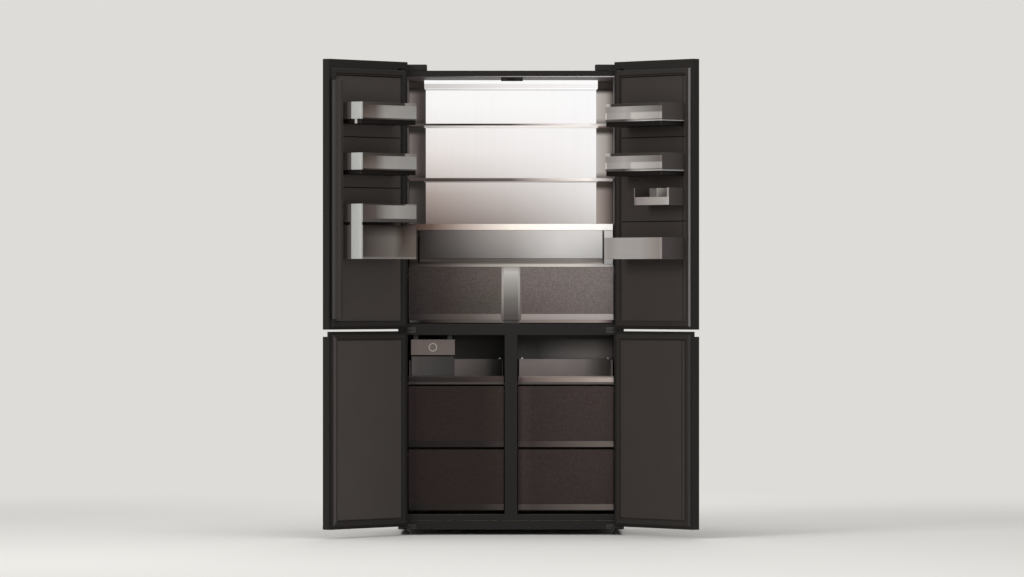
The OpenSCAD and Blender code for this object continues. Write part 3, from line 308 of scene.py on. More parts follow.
# Pan-head screws: a flat dome with a round driver recess, set along the normal of each point.
screw_tree, given, out = new_tree("screws", "Head radius", "Head height", "Recess")
crown = calc(screw_tree, "MULTIPLY", given.outputs["Head radius"], 0.72)
head = add(screw_tree, "GeometryNodeMeshCone", None,
           {"Vertices": 14, "Radius Top": crown, "Radius Bottom": given.outputs["Head radius"],
            "Depth": given.outputs["Head height"]})
inset = add(screw_tree, "GeometryNodeExtrudeMesh", None,
            {"Mesh": head.outputs["Mesh"], "Selection": head.outputs["Top"], "Offset Scale": 0.0})
rim = add(screw_tree, "GeometryNodeScaleElements", None,
          {"Geometry": inset.outputs["Mesh"], "Selection": inset.outputs["Top"], "Scale": 0.55})
sink = calc(screw_tree, "MULTIPLY", given.outputs["Recess"], -1.0)
pit = add(screw_tree, "GeometryNodeExtrudeMesh", None,
          {"Mesh": rim.outputs["Geometry"], "Selection": inset.outputs["Top"], "Offset Scale": sink})
close_tree(screw_tree, given, out, set_facing(screw_tree, given, pit.outputs["Mesh"]))


def grow(name, tree, points, body, values, smooth=False):
    """Runs a tree on points given as (place, facing), keeps its result as a plain mesh piece."""
    seed = bpy.data.meshes.new(name)
    seed.from_pydata([p for p, _ in points], [], [])
    seed.attributes.new("facing", "FLOAT_VECTOR", "POINT")
    seed.attributes["facing"].data.foreach_set("vector", [c for _, f in points for c in f])
    holder = bpy.data.objects.new(name + "_points", seed)
    scene.collection.objects.link(holder)
    run = holder.modifiers.new("tree", "NODES")
    run.node_group = tree
    sockets = {s.name: s.identifier for s in tree.interface.items_tree if s.in_out == "INPUT"}
    for label, value in values.items():
        run[sockets[label]] = value
    bpy.context.view_layer.update()
    mesh = bpy.data.meshes.new_from_object(holder.evaluated_get(bpy.context.evaluated_depsgraph_get()))
    holder.modifiers.remove(run)
    bpy.data.objects.remove(holder)
    mesh.name = name
    for poly in mesh.polygons:
        poly.use_smooth = smooth
    return put_in_scene(name, mesh, body, [])


def screws(name, points, radius_mm, height_mm, recess_mm, finish):
    """Screw heads on the cabinet."""
    return grow(name, screw_tree, points, "cabinet",
                {"Head radius": radius_mm / 1000, "Head height": height_mm / 1000, "Recess": recess_mm / 1000,
                 "Finish": finish})


# Zinc-plated screws, a bright metal with a thin yellow-grey haze.
zinc_plate = new_finish("zinc_plated_steel", "#A3A29C", 0.34, patch=14, grain=1.2, Metallic=1.0)
back_y, panel_z = 575.0, (300.0, 860.0, 1400.0, 1848.0)
spots = [(x, z) for x in (-440, 440) for z in panel_z] + [(-150, 1848), (150, 1848)]
spots += [(x, z) for x in (-440, -150, 150, 440) for z in (36, 276)]
screws("back_screws", [(at(x, back_y, z), (0, 1, 0)) for x, z in spots], 5, 2.6, 1.4, zinc_plate)

# The gland where the mains cord goes in: soft black rubber with a matt, dusty face.
black_rubber = new_finish("matt_black_rubber", "#171716", 0.75, patch=25, grain=1.0,
                          relief=0.05, shine=0.3)
dress("cord_gland", "cabinet", [black_rubber], 1.2, 3)


# Front frame
# Painted steel frame round the openings, split at the bottom rail, and the moulded guide
# block in the ceiling that turns the flip bar.
frame_paint = new_finish("satin_black_brown_paint", "#201E1D", 0.5, patch=180, grain=2.0,
                         relief=0.015, shine=0.08)
dress("face_frame", "cabinet", [frame_paint], 0.9, 3)


# Feet
# Four levelling feet: a flared pad of moulded nylon, a hexagonal collar for the spanner and
# a threaded stem that goes up into the base pan.
black_nylon = new_finish("moulded_black_nylon", "#1A1A19", 0.55, patch=30, grain=1.2,
                         relief=0.04, shine=0.35)
foot_tree, given, out = new_tree("levelling_feet", "Pad radius", "Pad height", "Stem radius", "Stem height")
flare = calc(foot_tree, "MULTIPLY", given.outputs["Pad radius"], 0.8)
pad = add(foot_tree, "GeometryNodeMeshCone", None,
          {"Vertices": 40, "Radius Bottom": given.outputs["Pad radius"], "Radius Top": flare,
           "Depth": given.outputs["Pad height"]})
collar_r = calc(foot_tree, "MULTIPLY", given.outputs["Stem radius"], 1.9)
collar = add(foot_tree, "GeometryNodeMeshCone", None,
             {"Vertices": 6, "Radius Bottom": collar_r, "Radius Top": collar_r, "Depth": 0.006})
lift = add(foot_tree, "ShaderNodeCombineXYZ", None, {"Z": given.outputs["Pad height"]})
collar_up = add(foot_tree, "GeometryNodeTransform", None,
                {"Geometry": collar.outputs["Mesh"], "Translation": lift.outputs[0]})
stem = add(foot_tree, "GeometryNodeMeshCone", None,
           {"Vertices": 24, "Radius Bottom": given.outputs["Stem radius"],
            "Radius Top": given.outputs["Stem radius"], "Depth": given.outputs["Stem height"]})
whole = add(foot_tree, "GeometryNodeJoinGeometry")
for part in (pad, collar_up, stem):
    foot_tree.links.new(part.outputs[0], whole.inputs[0])
stood = add(foot_tree, "GeometryNodeInstanceOnPoints", None,
            {"Points": given.outputs["Geometry"], "Instance": whole.outputs[0]})
close_tree(foot_tree, given, out, stood.outputs[0])
feet = [(at(x, y, 0), (0, 0, 1)) for x in (-425, 425) for y in (45, 520)]
foot_piece = grow("levelling_feet", foot_tree, feet, "cabinet",
                  {"Pad radius": 0.018, "Pad height": 0.011, "Stem radius": 0.006, "Stem height": 0.023,
                   "Finish": black_nylon})
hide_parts("feet")


# Hinges
# Pressed and turned steel with a black zinc plating: an arm from each pin to a plate on the
# cabinet, with moulded covers over the two top ones.
black_zinc = new_finish("black_zinc_plated_steel", "#2B2927", 0.42, patch=14, grain=1.2,
                        shine=0.2)
dress("top_hinges", "cabinet", [black_zinc], 0.5)
dress("lower_hinges", "cabinet", [black_zinc], 0.5)
plate_screws = [(at(s * x, -2.5, z), (0, -1, 0)) for s in (-1, 1) for x in (-414, -390) for z in (824, 33)]
screws("hinge_screws", plate_screws, 4, 2, 1.2, black_zinc)


def boxes(name, body, mats, corners, edge_mm, steps=2, place=HOME, replaces=()):
    """One piece made of boxes, each given by two corners in mm, with rounded edges."""
    shape = bmesh.new()
    for lo, hi in corners:
        for v in bmesh.ops.create_cube(shape, size=1.0)["verts"]:
            v.co = place @ Vector((lo[i] + (hi[i] - lo[i]) * (v.co[i] + 0.5)) / 1000 for i in range(3))
    if place.determinant() < 0:
        bmesh.ops.reverse_faces(shape, faces=shape.faces)
    mesh = bpy.data.meshes.new(name)
    shape.to_mesh(mesh)
    shape.free()
    return soften(put_in_scene(name, mesh, body, mats, replaces), edge_mm, steps)


# The covers are moulded ABS, textured and rounded, and each is held by one screw.
moulded_cover = new_finish("textured_dark_abs", "#201F1E", 0.6, patch=50, grain=1.4,
                           relief=0.08, shine=0.12)
boxes("hinge_covers_moulded", "cabinet", [moulded_cover],
      [((-440, 2, 1867), (-338, 75, 1892)), ((338, 2, 1867), (440, 75, 1892))], 4.0, 4,
      replaces=["hinge_covers"])
screws("cover_screws", [(at(s * 352, 60, 1892), (0, 0, 1)) for s in (-1, 1)], 4.5, 2, 1.3, black_zinc)


# Machine compartment
# Behind the cover at the back: the compressor in its black enamelled steel shell on rubber
# feet, the finned condenser with its fan, and the box of the control board.
black_enamel = new_finish("gloss_black_enamel", "#161616", 0.25, patch=90, grain=2.6,
                          relief=0.02)
bare_aluminium = new_finish("bare_aluminium_fins", "#A9ACAE", 0.38, patch=30, grain=1.0,
                            stretch=(1, 1, 0.1), Metallic=1.0)
board_box = new_finish("moulded_grey_abs", "#303236", 0.5, patch=40, grain=1.2, relief=0.05)
dress("compressor", "cabinet", [black_enamel], 2.0, 3)
dress("control_box", "cabinet", [board_box], 2.0, 3)


def finish_nodes(nodes, finish):
    """Gives nodes that are shown as they are their finish."""
    for node in nodes:
        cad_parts[node].data.materials.clear()
        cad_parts[node].data.materials.append(finish)


finish_nodes(("condenser", "evaporators"), bare_aluminium)
fan_nylon = new_finish("moulded_fan_nylon", "#222223", 0.48, patch=25, grain=1.0)
for node in ("condenser_fan", "fridge_fan", "freezer_fan"):
    dress(node, node, [fan_nylon], 0.4)


# Insulation
# Rigid polyurethane foam blown between steel and liners, pale yellow with cells of about
# 0.5 mm, drawn at 2 mm. Only a bare edge of it could ever be seen.
foam = new_finish("rigid_polyurethane_foam", "#E3D6A6", 0.9, patch=20, grain=2.0, relief=0.3)
finish_nodes(("cabinet_foam", "door_ul_foam", "door_ur_foam", "door_ll_foam", "door_lr_foam"), foam)


# Cold compartment
# A vacuum-formed liner of taupe polystyrene with a metallic film, its moulded shelf ledges,
# and a satin metal lip along the top of the opening. Below 864 mm the liner is painted near-black as shade.
liner_film = new_finish("satin_taupe_liner", "#5F5552", 0.45, patch=160, grain=1.8, relief=0.02,
                        shine=0.12)
# Painted shade for the recess at the foot of the liner.
liner_painted_shade = new_finish("liner_recess_painted_shade", "#0D0B0A", 0.6, patch=160, grain=1.8, shine=0.03)


def colour_run(tree, rows):
    """A colour that runs from left to right along each row, and from each row to the one above.
    A row is a height and then pairs of place and colour, with heights and places in mm."""
    axes = add(tree, "ShaderNodeSeparateXYZ", None, {0: spot(tree)})
    run, below = None, 0.0
    for height, *stops in rows:
        left, right = stops[0][0], stops[-1][0]
        across = remap(tree, axes.outputs["X"], left / 1000, right / 1000)
        ramp = add(tree, "ShaderNodeValToRGB", None, {"Fac": across})
        marks = ramp.color_ramp.elements
        while len(marks) < len(stops):
            marks.new(0.5)
        for mark, (place, colour) in zip(marks, stops):
            mark.position = (place - left) / (right - left)
        for mark, (place, colour) in zip(marks, stops):
            mark.color = ink(colour)
        if run is None:
            run = ramp.outputs[0]
        else:
            rise = remap(tree, axes.outputs["Z"], below / 1000, height / 1000)
            run = add(tree, "ShaderNodeMix", {"data_type": "RGBA"},
                      {0: rise, 6: run, 7: ramp.outputs[0]}).outputs[2]
        below = height
    return run


def times(tree, one, other):
    """The product of two colours."""
    return add(tree, "ShaderNodeMix", {"data_type": "RGBA", "blend_type": "MULTIPLY"},
               {0: 1.0, 6: one, 7: other}).outputs[2]


def run_finish(name, rough, rows, gain=1.0, **rest):
    """A finish with its patches and grain over the colours of a colour run."""
    mat = new_finish(name, "#808080", rough, **rest)
    tree = mat.node_tree
    skin = tree.nodes["Principled BSDF"]
    tone = skin.inputs["Base Color"].links[0].from_node
    even = sum(tone.inputs[6].default_value[:3]) / 6 + sum(tone.inputs[7].default_value[:3]) / 6
    for i in (6, 7):
        tone.inputs[i].default_value = [c * gain / even for c in tone.inputs[i].default_value[:3]] + [1]
    tree.links.new(times(tree, tone.outputs[2], colour_run(tree, rows)), skin.inputs["Base Color"])
    return mat


def level_cuts(*heights):
    """Level planes at these heights in mm."""
    return [((0, 0, z), (0, 0, 1)) for z in heights]


# The lip's run from dark on the left to pale on the right is a painted reflection.
lip_painted_reflection = run_finish(
    "champagne_lip_painted_reflection", 0.35, patch=90, grain=1.0, relief=0.01, shade=0.02, shine=0.1,
    rows=[(1840, (-418, "#1E1A19"), (-250, "#45403D"), (0, "#8D8682"), (418, "#B8B4B3"))])
LIP_FOOT, LIP_BACK, PAINTED_SHADE_BELOW = 1835, 3.2, 864
dress("fridge_liner", "cabinet", [liner_film, lip_painted_reflection, liner_painted_shade], 0.8,
      pick=lambda p, n: 1 if p.z > LIP_FOOT and p.y < LIP_BACK else 2 if p.z < PAINTED_SHADE_BELOW else 0,
      cuts=level_cuts(PAINTED_SHADE_BELOW))

# The air duct panel beside and above the light, in the same film. The light from the edges of the
# lit panel is painted on it as a glow in its own emission, stronger on the right than on the left,
# with painted shadows under the shelves and painted shade at the top.
duct_painted_glow_film = new_finish("taupe_duct_panel_with_painted_glow", "#332D2B", 0.4, patch=70, grain=2.0,
                       relief=0.015, stretch=(1, 1, 0.02), shine=0.2)
# Rows of the painted glow: painted shadow under the shelves, painted light from the panel's edges.
PAINTED_SHELF_SHADOW = ((-418, "#1C1A16"), (-357, "#100D0A"), (357, "#3E362F"), (418, "#241F1C"))
PAINTED_LIGHT_ABOVE = ((-418, "#786F6C"), (-373, "#3C3331"), (-357, "#342E2B"), (357, "#BEB7B2"), (389, "#AAA19A"),
        (418, "#5A524F"))
PAINTED_LIGHT_BENEATH = ((-418, "#4C4744"), (-373, "#24201F"), (-357, "#211B19"), (357, "#A1958D"), (389, "#7F716D"),
       (418, "#3A3330"))
duct_painted_light_run = colour_run(duct_painted_glow_film.node_tree, [
    (1254, *PAINTED_LIGHT_BENEATH), (1392, *PAINTED_LIGHT_BENEATH), (1410, *PAINTED_SHELF_SHADOW), (1440, *PAINTED_SHELF_SHADOW), (1470, *PAINTED_LIGHT_ABOVE), (1618, *PAINTED_LIGHT_ABOVE),
    (1634, *PAINTED_SHELF_SHADOW), (1660, *PAINTED_SHELF_SHADOW), (1690, *PAINTED_LIGHT_ABOVE), (1788, *PAINTED_LIGHT_ABOVE),
    (1804, (-418, "#080504"), (418, "#0A0706"))])
duct_skin = duct_painted_glow_film.node_tree.nodes["Principled BSDF"]
duct_painted_glow_film.node_tree.links.new(duct_painted_light_run, duct_skin.inputs["Emission Color"])
duct_skin.inputs["Emission Strength"].default_value = 0.85
dress("duct_panel", "cabinet", [duct_painted_glow_film], 0.6)


# Lights
# An opal acrylic panel lit from its top and right edges, so that it fades and warms towards
# the lower left, with faint upright lines from the light guide, and a ribbed ceiling lamp.
def lit_opal(name, rows, strength):
    """Opal acrylic that glows in the colours of a colour run, with faint upright lines."""
    mat, tree, skin = new_material(name)
    lines = noise(tree, drawn_out(tree, (1, 1, 0.01)), 90.0)
    dim = remap(tree, lines, 0.35, 0.65, 0.985, 1.0)
    tree.links.new(times(tree, colour_run(tree, rows), dim), skin.inputs["Emission Color"])
    for socket, value in (("Emission Strength", strength), ("Base Color", ink("#2E2D2D")),
                          ("Roughness", 0.35), ("Specular IOR Level", 0.1)):
        skin.inputs[socket].default_value = value
    return mat


panel_glow = lit_opal("edge_lit_opal_acrylic", [
    (1254, (-350, "#6E5E58"), (0, "#9C918C"), (350, "#CDC8C5")),
    (1376, (-350, "#A69790"), (0, "#C6BEBA"), (350, "#E7E4E3")),
    (1457, (-350, "#CCC3BE"), (350, "#EEECEA")),
    (1560, (-350, "#E8E1DE"), (350, "#F6F3F3")),
    (1744, (-350, "#F8F7F6"), (350, "#FAF9F9"))], 0.98)
lamp_glow = lit_opal("lit_opal_lamp", [
    (1825, (-354, "#CAC6C4"), (0, "#EDE9E8"), (354, "#F8F6F6")),
    (1828, (-354, "#FDFCFB"), (354, "#FFFFFF"))], 0.97)
LAMP_FOOT = 1807
dress("light_panels", "cabinet", [panel_glow, lamp_glow], 1.0, 3,
      pick=lambda p, n: 1 if p.z > LAMP_FOOT else 0)

# Ribs moulded under the lamp, 12 mm apart, that spread its light.
rib_tree, given, out = new_tree("lamp_ribs", "Rib radius", "Rib length")
rod = add(rib_tree, "GeometryNodeMeshCone", None,
          {"Vertices": 8, "Radius Bottom": given.outputs["Rib radius"],
           "Radius Top": given.outputs["Rib radius"], "Depth": given.outputs["Rib length"]})
close_tree(rib_tree, given, out, set_facing(rib_tree, given, rod.outputs["Mesh"]))
grow("lamp_ribs", rib_tree, [(at(x, 344, 1808), (0, 1, 0)) for x in range(-342, 343, 12)], "cabinet",
     {"Rib radius": 0.0016, "Rib length": 0.13, "Finish": lamp_glow}, smooth=True)


# Shelves
# Clear toughened glass, 4 mm, in smooth front trims of champagne anodised aluminium that carry a
# painted reflection of a dark room on the left and a light one on the right. Under the two upper
# shelves a clear edge of the glass carrier is shown by painted light from the lit panel behind it.
glass, tree, skin = new_material("toughened_clear_glass")
for socket, value in (("Base Color", ink("#DDE9E6")), ("Roughness", 0.02), ("IOR", 1.52),
                      ("Transmission Weight", 1.0)):
    skin.inputs[socket].default_value = value
wave = add(tree, "ShaderNodeBump", None,
           {"Height": noise(tree, spot(tree), 9.0), "Strength": 0.1, "Distance": 0.0004})
tree.links.new(wave.outputs[0], skin.inputs["Normal"])
dress("shelf_glass", "cabinet", [glass], 0.8)


def trim_with_painted_reflection(name, rows, gain=1.0):
    """Smooth anodised aluminium with a painted reflection, in the colours of a colour run."""
    return run_finish(name, 0.3, rows, gain, patch=80, grain=0.9, relief=0.006, shade=0.015,
                      stretch=(0.03, 1, 1), shine=0.07)


# The bright middle of the two upper trims is the panel's light painted through the clear edge; the rest is a
# painted reflection.
top_trim_painted_reflection = trim_with_painted_reflection("top_shelf_trim_painted_reflection", [
    (1644, (-412, "#29231F"), (-352, "#36302B"), (-348, "#CFC9C7"), (348, "#E0DAD6"), (353, "#6A5A54"),
     (412, "#352C28")),
    (1649, (-412, "#4C413D"), (-352, "#4E4440"), (-348, "#D0CAC8"), (348, "#EDE8E4"), (353, "#BEB1AA"),
     (412, "#544B48")),
    (1650.5, (-412, "#776D67"), (-310, "#3A3533"), (-200, "#2B2623"), (0, "#4C4240"), (195, "#D5CBC7"),
     (310, "#F1EEEB"), (412, "#605754"))], 1.25)
middle_trim_painted_reflection = trim_with_painted_reflection("middle_shelf_trim_painted_reflection", [
    (1424, (-352, "#2A241F"), (-348, "#867B76"), (348, "#A89F9B"), (353, "#423A35")),
    (1427, (-412, "#534948"), (-310, "#312723"), (0, "#39312E"), (195, "#BCB3AD"), (310, "#EEE9E5"),
     (412, "#A39A98")),
    (1436, (-412, "#5A4D4C"), (-310, "#5C524F"), (0, "#6C6461"), (195, "#CAC3BF"), (310, "#EBE6E3"),
     (412, "#776E6B"))], 1.25)
cover_trim_painted_reflection = trim_with_painted_reflection("crisper_cover_trim_with_painted_reflection", [
    (1226, (-412, "#3A2622"), (-322, "#6D584F"), (-200, "#A79890"), (0, "#DAD1C8"), (412, "#F5F2EF"))], 1.35)
bar_trim_painted_reflection = trim_with_painted_reflection("drawer_bar_painted_reflection", [
    (1080, (-412, "#25211D"), (-285, "#5C554F"), (-45, "#A6A19B"), (275, "#D2CBC5"), (412, "#ACA8A6")),
    (1088, (-412, "#1E1916"), (-285, "#4B4340"), (-45, "#8A857D"), (275, "#BBB6B0"), (412, "#8A8784"))], 1.1)
BETWEEN_TRIMS = (1600, 1300, 1150)
dress("shelf_trims", "cabinet", [top_trim_painted_reflection, middle_trim_painted_reflection, cover_trim_painted_reflection, bar_trim_painted_reflection], 1.0, 3,
      cuts=level_cuts(1643, 1649.8, 1425.5), pick=lambda p, n: sum(p.z <= z for z in BETWEEN_TRIMS))


# Crisper
# A wide drawer between two cheeks of liner plastic, with a smooth semi-gloss metallic front
# that carries the same painted reflection of dark and light as the trims, and a recessed band
# along its foot with a painted reflection of its own.
# Painted reflection: dark on the left, pale on the right.
crisper_painted_reflection = run_finish(
    "semi_gloss_grey_painted_reflection", 0.3, gain=1.1, patch=120, grain=1.4, relief=0.004, shade=0.012,
    rough_swing=0.02, shine=0.1, rows=[
     (1110, (-409, "#28221F"), (-366, "#2A2522"), (-322, "#3D3835"), (0, "#827D7A"), (195, "#B8B6B4"),
      (409, "#BAB8B6")),
     (1215, (-409, "#201C19"), (-366, "#241F1C"), (-322, "#433D3C"), (0, "#9D9794"), (195, "#C4C1C0"),
      (409, "#DAD7D6"))])
CHEEK_TOP, CHEEK_FRONT = 1226.5, 140
dress("crisper_frame", "cabinet", [liner_film, crisper_painted_reflection], 0.8,
      pick=lambda p, n: 1 if n.y < -0.9 and p.y < CHEEK_FRONT and p.z < CHEEK_TOP + 0.5 else 0,
      cuts=level_cuts(CHEEK_TOP))
# The foot band's run, darker on the left, is a painted reflection too.
crisper_foot_painted_reflection = run_finish(
    "recessed_foot_band_painted_reflection", 0.4, gain=1.6, patch=120, grain=1.4, relief=0.004, shade=0.02, shine=0.08,
    rows=[(1100, (-409, "#3C3432"), (0, "#56504C"), (275, "#77726E"), (409, "#5A5653"))])
tub_plastic = new_finish("frosted_grey_tub", "#8F8B87", 0.4, patch=120, grain=2.0, relief=0.02)
FACE_BACK, FACE_FOOT, BAND_BACK = 128.2, 1112, 134.5
dress("crisper_drawer", "crisper", [crisper_painted_reflection, crisper_foot_painted_reflection, tub_plastic], 1.0, 3,
      pick=lambda p, n: 0 if p.y < FACE_BACK and p.z > FACE_FOOT else 1 if p.y < BAND_BACK else 2)


# Column between the drawers
# A metal-look moulding with painted light, bright at the top and dark at the foot, with a lighter
# border and painted shade at its right edge.
def column_row(height, border, body, shade):
    """One row of the column's colours, with its border on both sides and painted shade past the right one."""
    return (height, (-38, border), (-31, border), (-28, body), (28, body), (31, border), (35, border),
            (38, shade))


# Painted light and shade in each row.
column_painted_light = run_finish(
    "metallic_column_painted_light", 0.32, gain=1.1, grain=1.2, relief=0.004, shade=0.02, shine=0.1, rows=[
        column_row(880, "#5E5854", "#484340", "#2D2825"), column_row(947, "#807B77", "#615D5A", "#433E3A"),
        column_row(1027, "#97928E", "#92908C", "#625D59"), column_row(1057, "#95908C", "#A7A3A0", "#67625D"),
        column_row(1076, "#807B76", "#8E8984", "#5D5853")])
dress("centre_column", "cabinet", [column_painted_light], 1.2, 3)


# Drawers
# Moulded fronts with a stone-like film, red-brown with dense fine flakes of 2 to 3 mm, and painted
# light that makes them paler to the right, and a satin metal trim along the foot with a painted
# reflection. Tubs of frosted plastic.
def flecked(name, rows):
    """Satin film in the colours of a colour run that carries painted light, with small pale and dark flakes
    all over it.
    """
    mat = run_finish(name, 0.55, rows, patch=24, grain=2.4, relief=0.04, shade=0.05, shine=0.06)
    tree = mat.node_tree
    skin = tree.nodes["Principled BSDF"]
    tone = skin.inputs["Base Color"].links[0].from_node
    cells = add(tree, "ShaderNodeTexVoronoi", None, {"Vector": spot(tree), "Scale": 1000 / 3.4})
    shade = add(tree, "ShaderNodeSeparateColor", None, {0: cells.outputs["Color"]})
    each = remap(tree, shade.outputs[0], 0.0, 1.0, 0.8, 1.2)
    size = remap(tree, cells.outputs["Distance"], 0.2, 0.45, 1.0, 0.0)
    chance = remap(tree, shade.outputs[1], 0.93, 1.0, 0.0, 0.9)
    lifted = calc(tree, "ADD", each, calc(tree, "MULTIPLY", size, chance))
    tree.links.new(times(tree, tone.outputs[2], lifted), skin.inputs["Base Color"])
    return mat


FRONT_THICK, TRIM_STEP = 6.2, 0.4      # just past the back of a front, and just before its face


def drawer(node, body, front, trim, tub, front_y, trim_z):
    """A drawer with its front film, its foot trim below trim_z and its tub behind."""
    def pick(p, n):
        if p.y > front_y + FRONT_THICK:
            return 2
        return 1 if p.y < front_y - TRIM_STEP and p.z < trim_z else 0
    return dress(node, body, [front, trim, tub], 1.0, 3, pick=pick)


# Painted light: both films grow paler towards the right.
pair_film_painted_light = flecked("flecked_brown_painted_light", [
    (925, (-413, "#352F2F"), (-280, "#3A3230"), (-63, "#4C4742"), (63, "#5B5250"), (413, "#706865")),
    (1045, (-413, "#36302D"), (-280, "#453D3B"), (-63, "#5A524E"), (63, "#69615E"), (413, "#7A726F"))])
freezer_film_painted_light = flecked("flecked_dark_brown_painted_light", [
    (99, (-413, "#2D2323"), (-360, "#271F1E"), (-120, "#271F1D"), (-60, "#29211F"),
     (28, "#362B2B"), (90, "#2D2524"), (413, "#362D2B")),
    (598, (-413, "#312628"), (-360, "#271F1D"), (-120, "#261E1C"), (-60, "#2D2521"),
     (28, "#3D3233"), (90, "#2F2726"), (413, "#3E3533"))])
# Painted reflections on the trims, dark on the left and pale on the right.
pair_trim_painted_reflection = trim_with_painted_reflection("drawer_pair_trim_with_painted_reflection", [
    (864, (-413, "#2D2727"), (-165, "#5D544F"), (65, "#938A86"), (413, "#B3ABA8"))])
freezer_trim_painted_reflection = trim_with_painted_reflection("freezer_drawers_trim_with_painted_reflection", [
    (120, (-413, "#1D1A18"), (-120, "#27221F"), (28, "#4A4240"), (90, "#3E3835"), (413, "#665D58")),
    (360, (-413, "#191514"), (-120, "#1D1817"), (28, "#3A3131"), (90, "#322A29"), (413, "#6A605B"))])
brown_tub = new_finish("frosted_brown_tub", "#4B423E", 0.45, patch=120, grain=2.0, relief=0.02)
drawer("drawer_left", "drawer_left", pair_film_painted_light, pair_trim_painted_reflection, brown_tub, 56, 892)
drawer("drawer_right", "drawer_right", pair_film_painted_light, pair_trim_painted_reflection, brown_tub, 56, 892)
for side, slot in (("left", "dark_drawer"), ("right", "lit_drawer")):
    for level, trim_z in (("upper", 380), ("lower", 126)):
        name = "freezer_drawer_" + level + "_" + side
        drawer(name, name, freezer_film_painted_light, freezer_trim_painted_reflection, brown_tub, 22, trim_z)


# Freezer
# Two liners of the same film as above, slotted covers over the evaporator, and a shallow
# pull-out tray on each side with a satin metal front.
dress("freezer_liners", "cabinet", [liner_film], 0.8)
# The covers' colour run is painted light and shade: darker towards the top, pale on the right.
evaporator_cover_painted_light = run_finish(
    "satin_grey_cover_painted_light", 0.45, patch=160, grain=1.8, relief=0.02, shine=0.06, rows=[
     (720, (-413, "#5A5654"), (-28, "#4C4A49"), (28, "#6A6767"), (110, "#64615F"), (345, "#CFCAC6"),
      (413, "#A8A29F")),
     (772, (-413, "#565351"), (-28, "#454241"), (110, "#413E3D"), (345, "#8B8683"), (413, "#6A6562")),
     (787, (-413, "#33302F"), (413, "#413D3B"))])
dress("freezer_back_covers", "cabinet", [evaporator_cover_painted_light], 0.6)
cover_screws = [(at(s * x, 492, 704), (0, -1, 0)) for s in (-1, 1) for x in (-398, -45.5)]
screws("freezer_cover_screws", cover_screws, 4.5, 2, 1.3, zinc_plate)
# The tray's bands across are painted light and shade, and its front's run from dark on the left to pale on the
# right is a painted reflection.
tray_painted_light_and_shade = run_finish("satin_taupe_tray_painted_light", 0.4, patch=80, relief=0.02, shine=0.1, rows=[
    (700, (-224, "#C2B4B0"), (-110, "#B0A5A0"), (-75, "#6A6461"), (-37, "#45403E"), (37, "#C6BAB6"),
     (300, "#D8CCC8"), (370, "#8A8480"), (413, "#6A6461"))])
TRAY_FOOT = ((-413, "#3A3635"), (0, "#423D3B"), (413, "#585150"))
TRAY_FACE = ((-413, "#221E1D"), (-210, "#261E1C"), (-30, "#3C312F"), (30, "#4E4341"), (275, "#8E8178"),
             (413, "#B3A49E"))
tray_front_painted_reflection = trim_with_painted_reflection("satin_tray_front", [
    (614, *TRAY_FOOT), (615, *TRAY_FACE), (630, *TRAY_FACE),
    (637, (-413, "#322E2D"), (-30, "#3A312E"), (30, "#6A605E"), (275, "#7F746E"), (413, "#6B625C"))])
TRAY_FACE_BACK = 28.2
for side, slot in (("left", "tray_dark"), ("right", "tray_light")):
    dress("tray_" + side, "tray_" + side, [tray_painted_light_and_shade, tray_front_painted_reflection], 1.2, 3,
          pick=lambda p, n: 1 if p.y < TRAY_FACE_BACK else 0)


# Ice maker
# A moulded housing with a taupe metallic front on two dark hangers, a plain raised ring round
# its key, and a smoked bin under it.
# The front carries painted light, paler towards its left end.
ice_front_painted_light = run_finish(
    "taupe_metallic_abs_painted_light", 0.42, grain=1.4, relief=0.015, stretch=(0.1, 1, 1), shine=0.15,
    rows=[(750, (-403, "#786E69"), (-350, "#685E5A"), (-226, "#615854"))])
HANGER_FOOT = 787
dress("ice_maker", "cabinet", [ice_front_painted_light, black_nylon], 1.4, 3, cuts=level_cuts(HANGER_FOOT),
      pick=lambda p, n: 1 if p.z > HANGER_FOOT else 0)
# The smoked bin carries painted light at its left end, darker towards the right.
smoked = run_finish(
    "smoked_acrylic_painted_light", 0.25, patch=90, grain=3.0, relief=0.01, rough_swing=0.03, shine=0.2, Alpha=0.9,
    rows=[(680, (-403, "#544F4D"), (-365, "#3F3B39"), (-285, "#2B2827"), (-238, "#1F1D1C"))])
smoked_edge = new_finish("polished_smoked_edge", "#524E4C", 0.3, patch=90, grain=3.0, relief=0.01)
dress("ice_bin", "tray_left", [smoked, smoked_edge], 1.2, 3,
      pick=lambda p, n: 0 if n.y < -0.9 else 1)

RING_AT, RING_R, RING_W, RING_RISE = at(-314.5, 33.6, 754.5), 0.0152, 0.0045, 0.0012


def closed_tube(name, rows, pick=None):
    """A mesh whose rows of points are joined to the next row, and the last one to the first."""
    shape = bmesh.new()
    rows = [[shape.verts.new(p) for p in row] for row in rows]
    for i, row in enumerate(rows):
        after = rows[(i + 1) % len(rows)]
        for j in range(len(row)):
            k = (j + 1) % len(row)
            face = shape.faces.new((row[j], row[k], after[k], after[j]))
            face.smooth = True
            face.material_index = pick(i, j) if pick else 0
    bmesh.ops.recalc_face_normals(shape, faces=shape.faces)
    mesh = bpy.data.meshes.new(name)
    shape.to_mesh(mesh)
    shape.free()
    return mesh


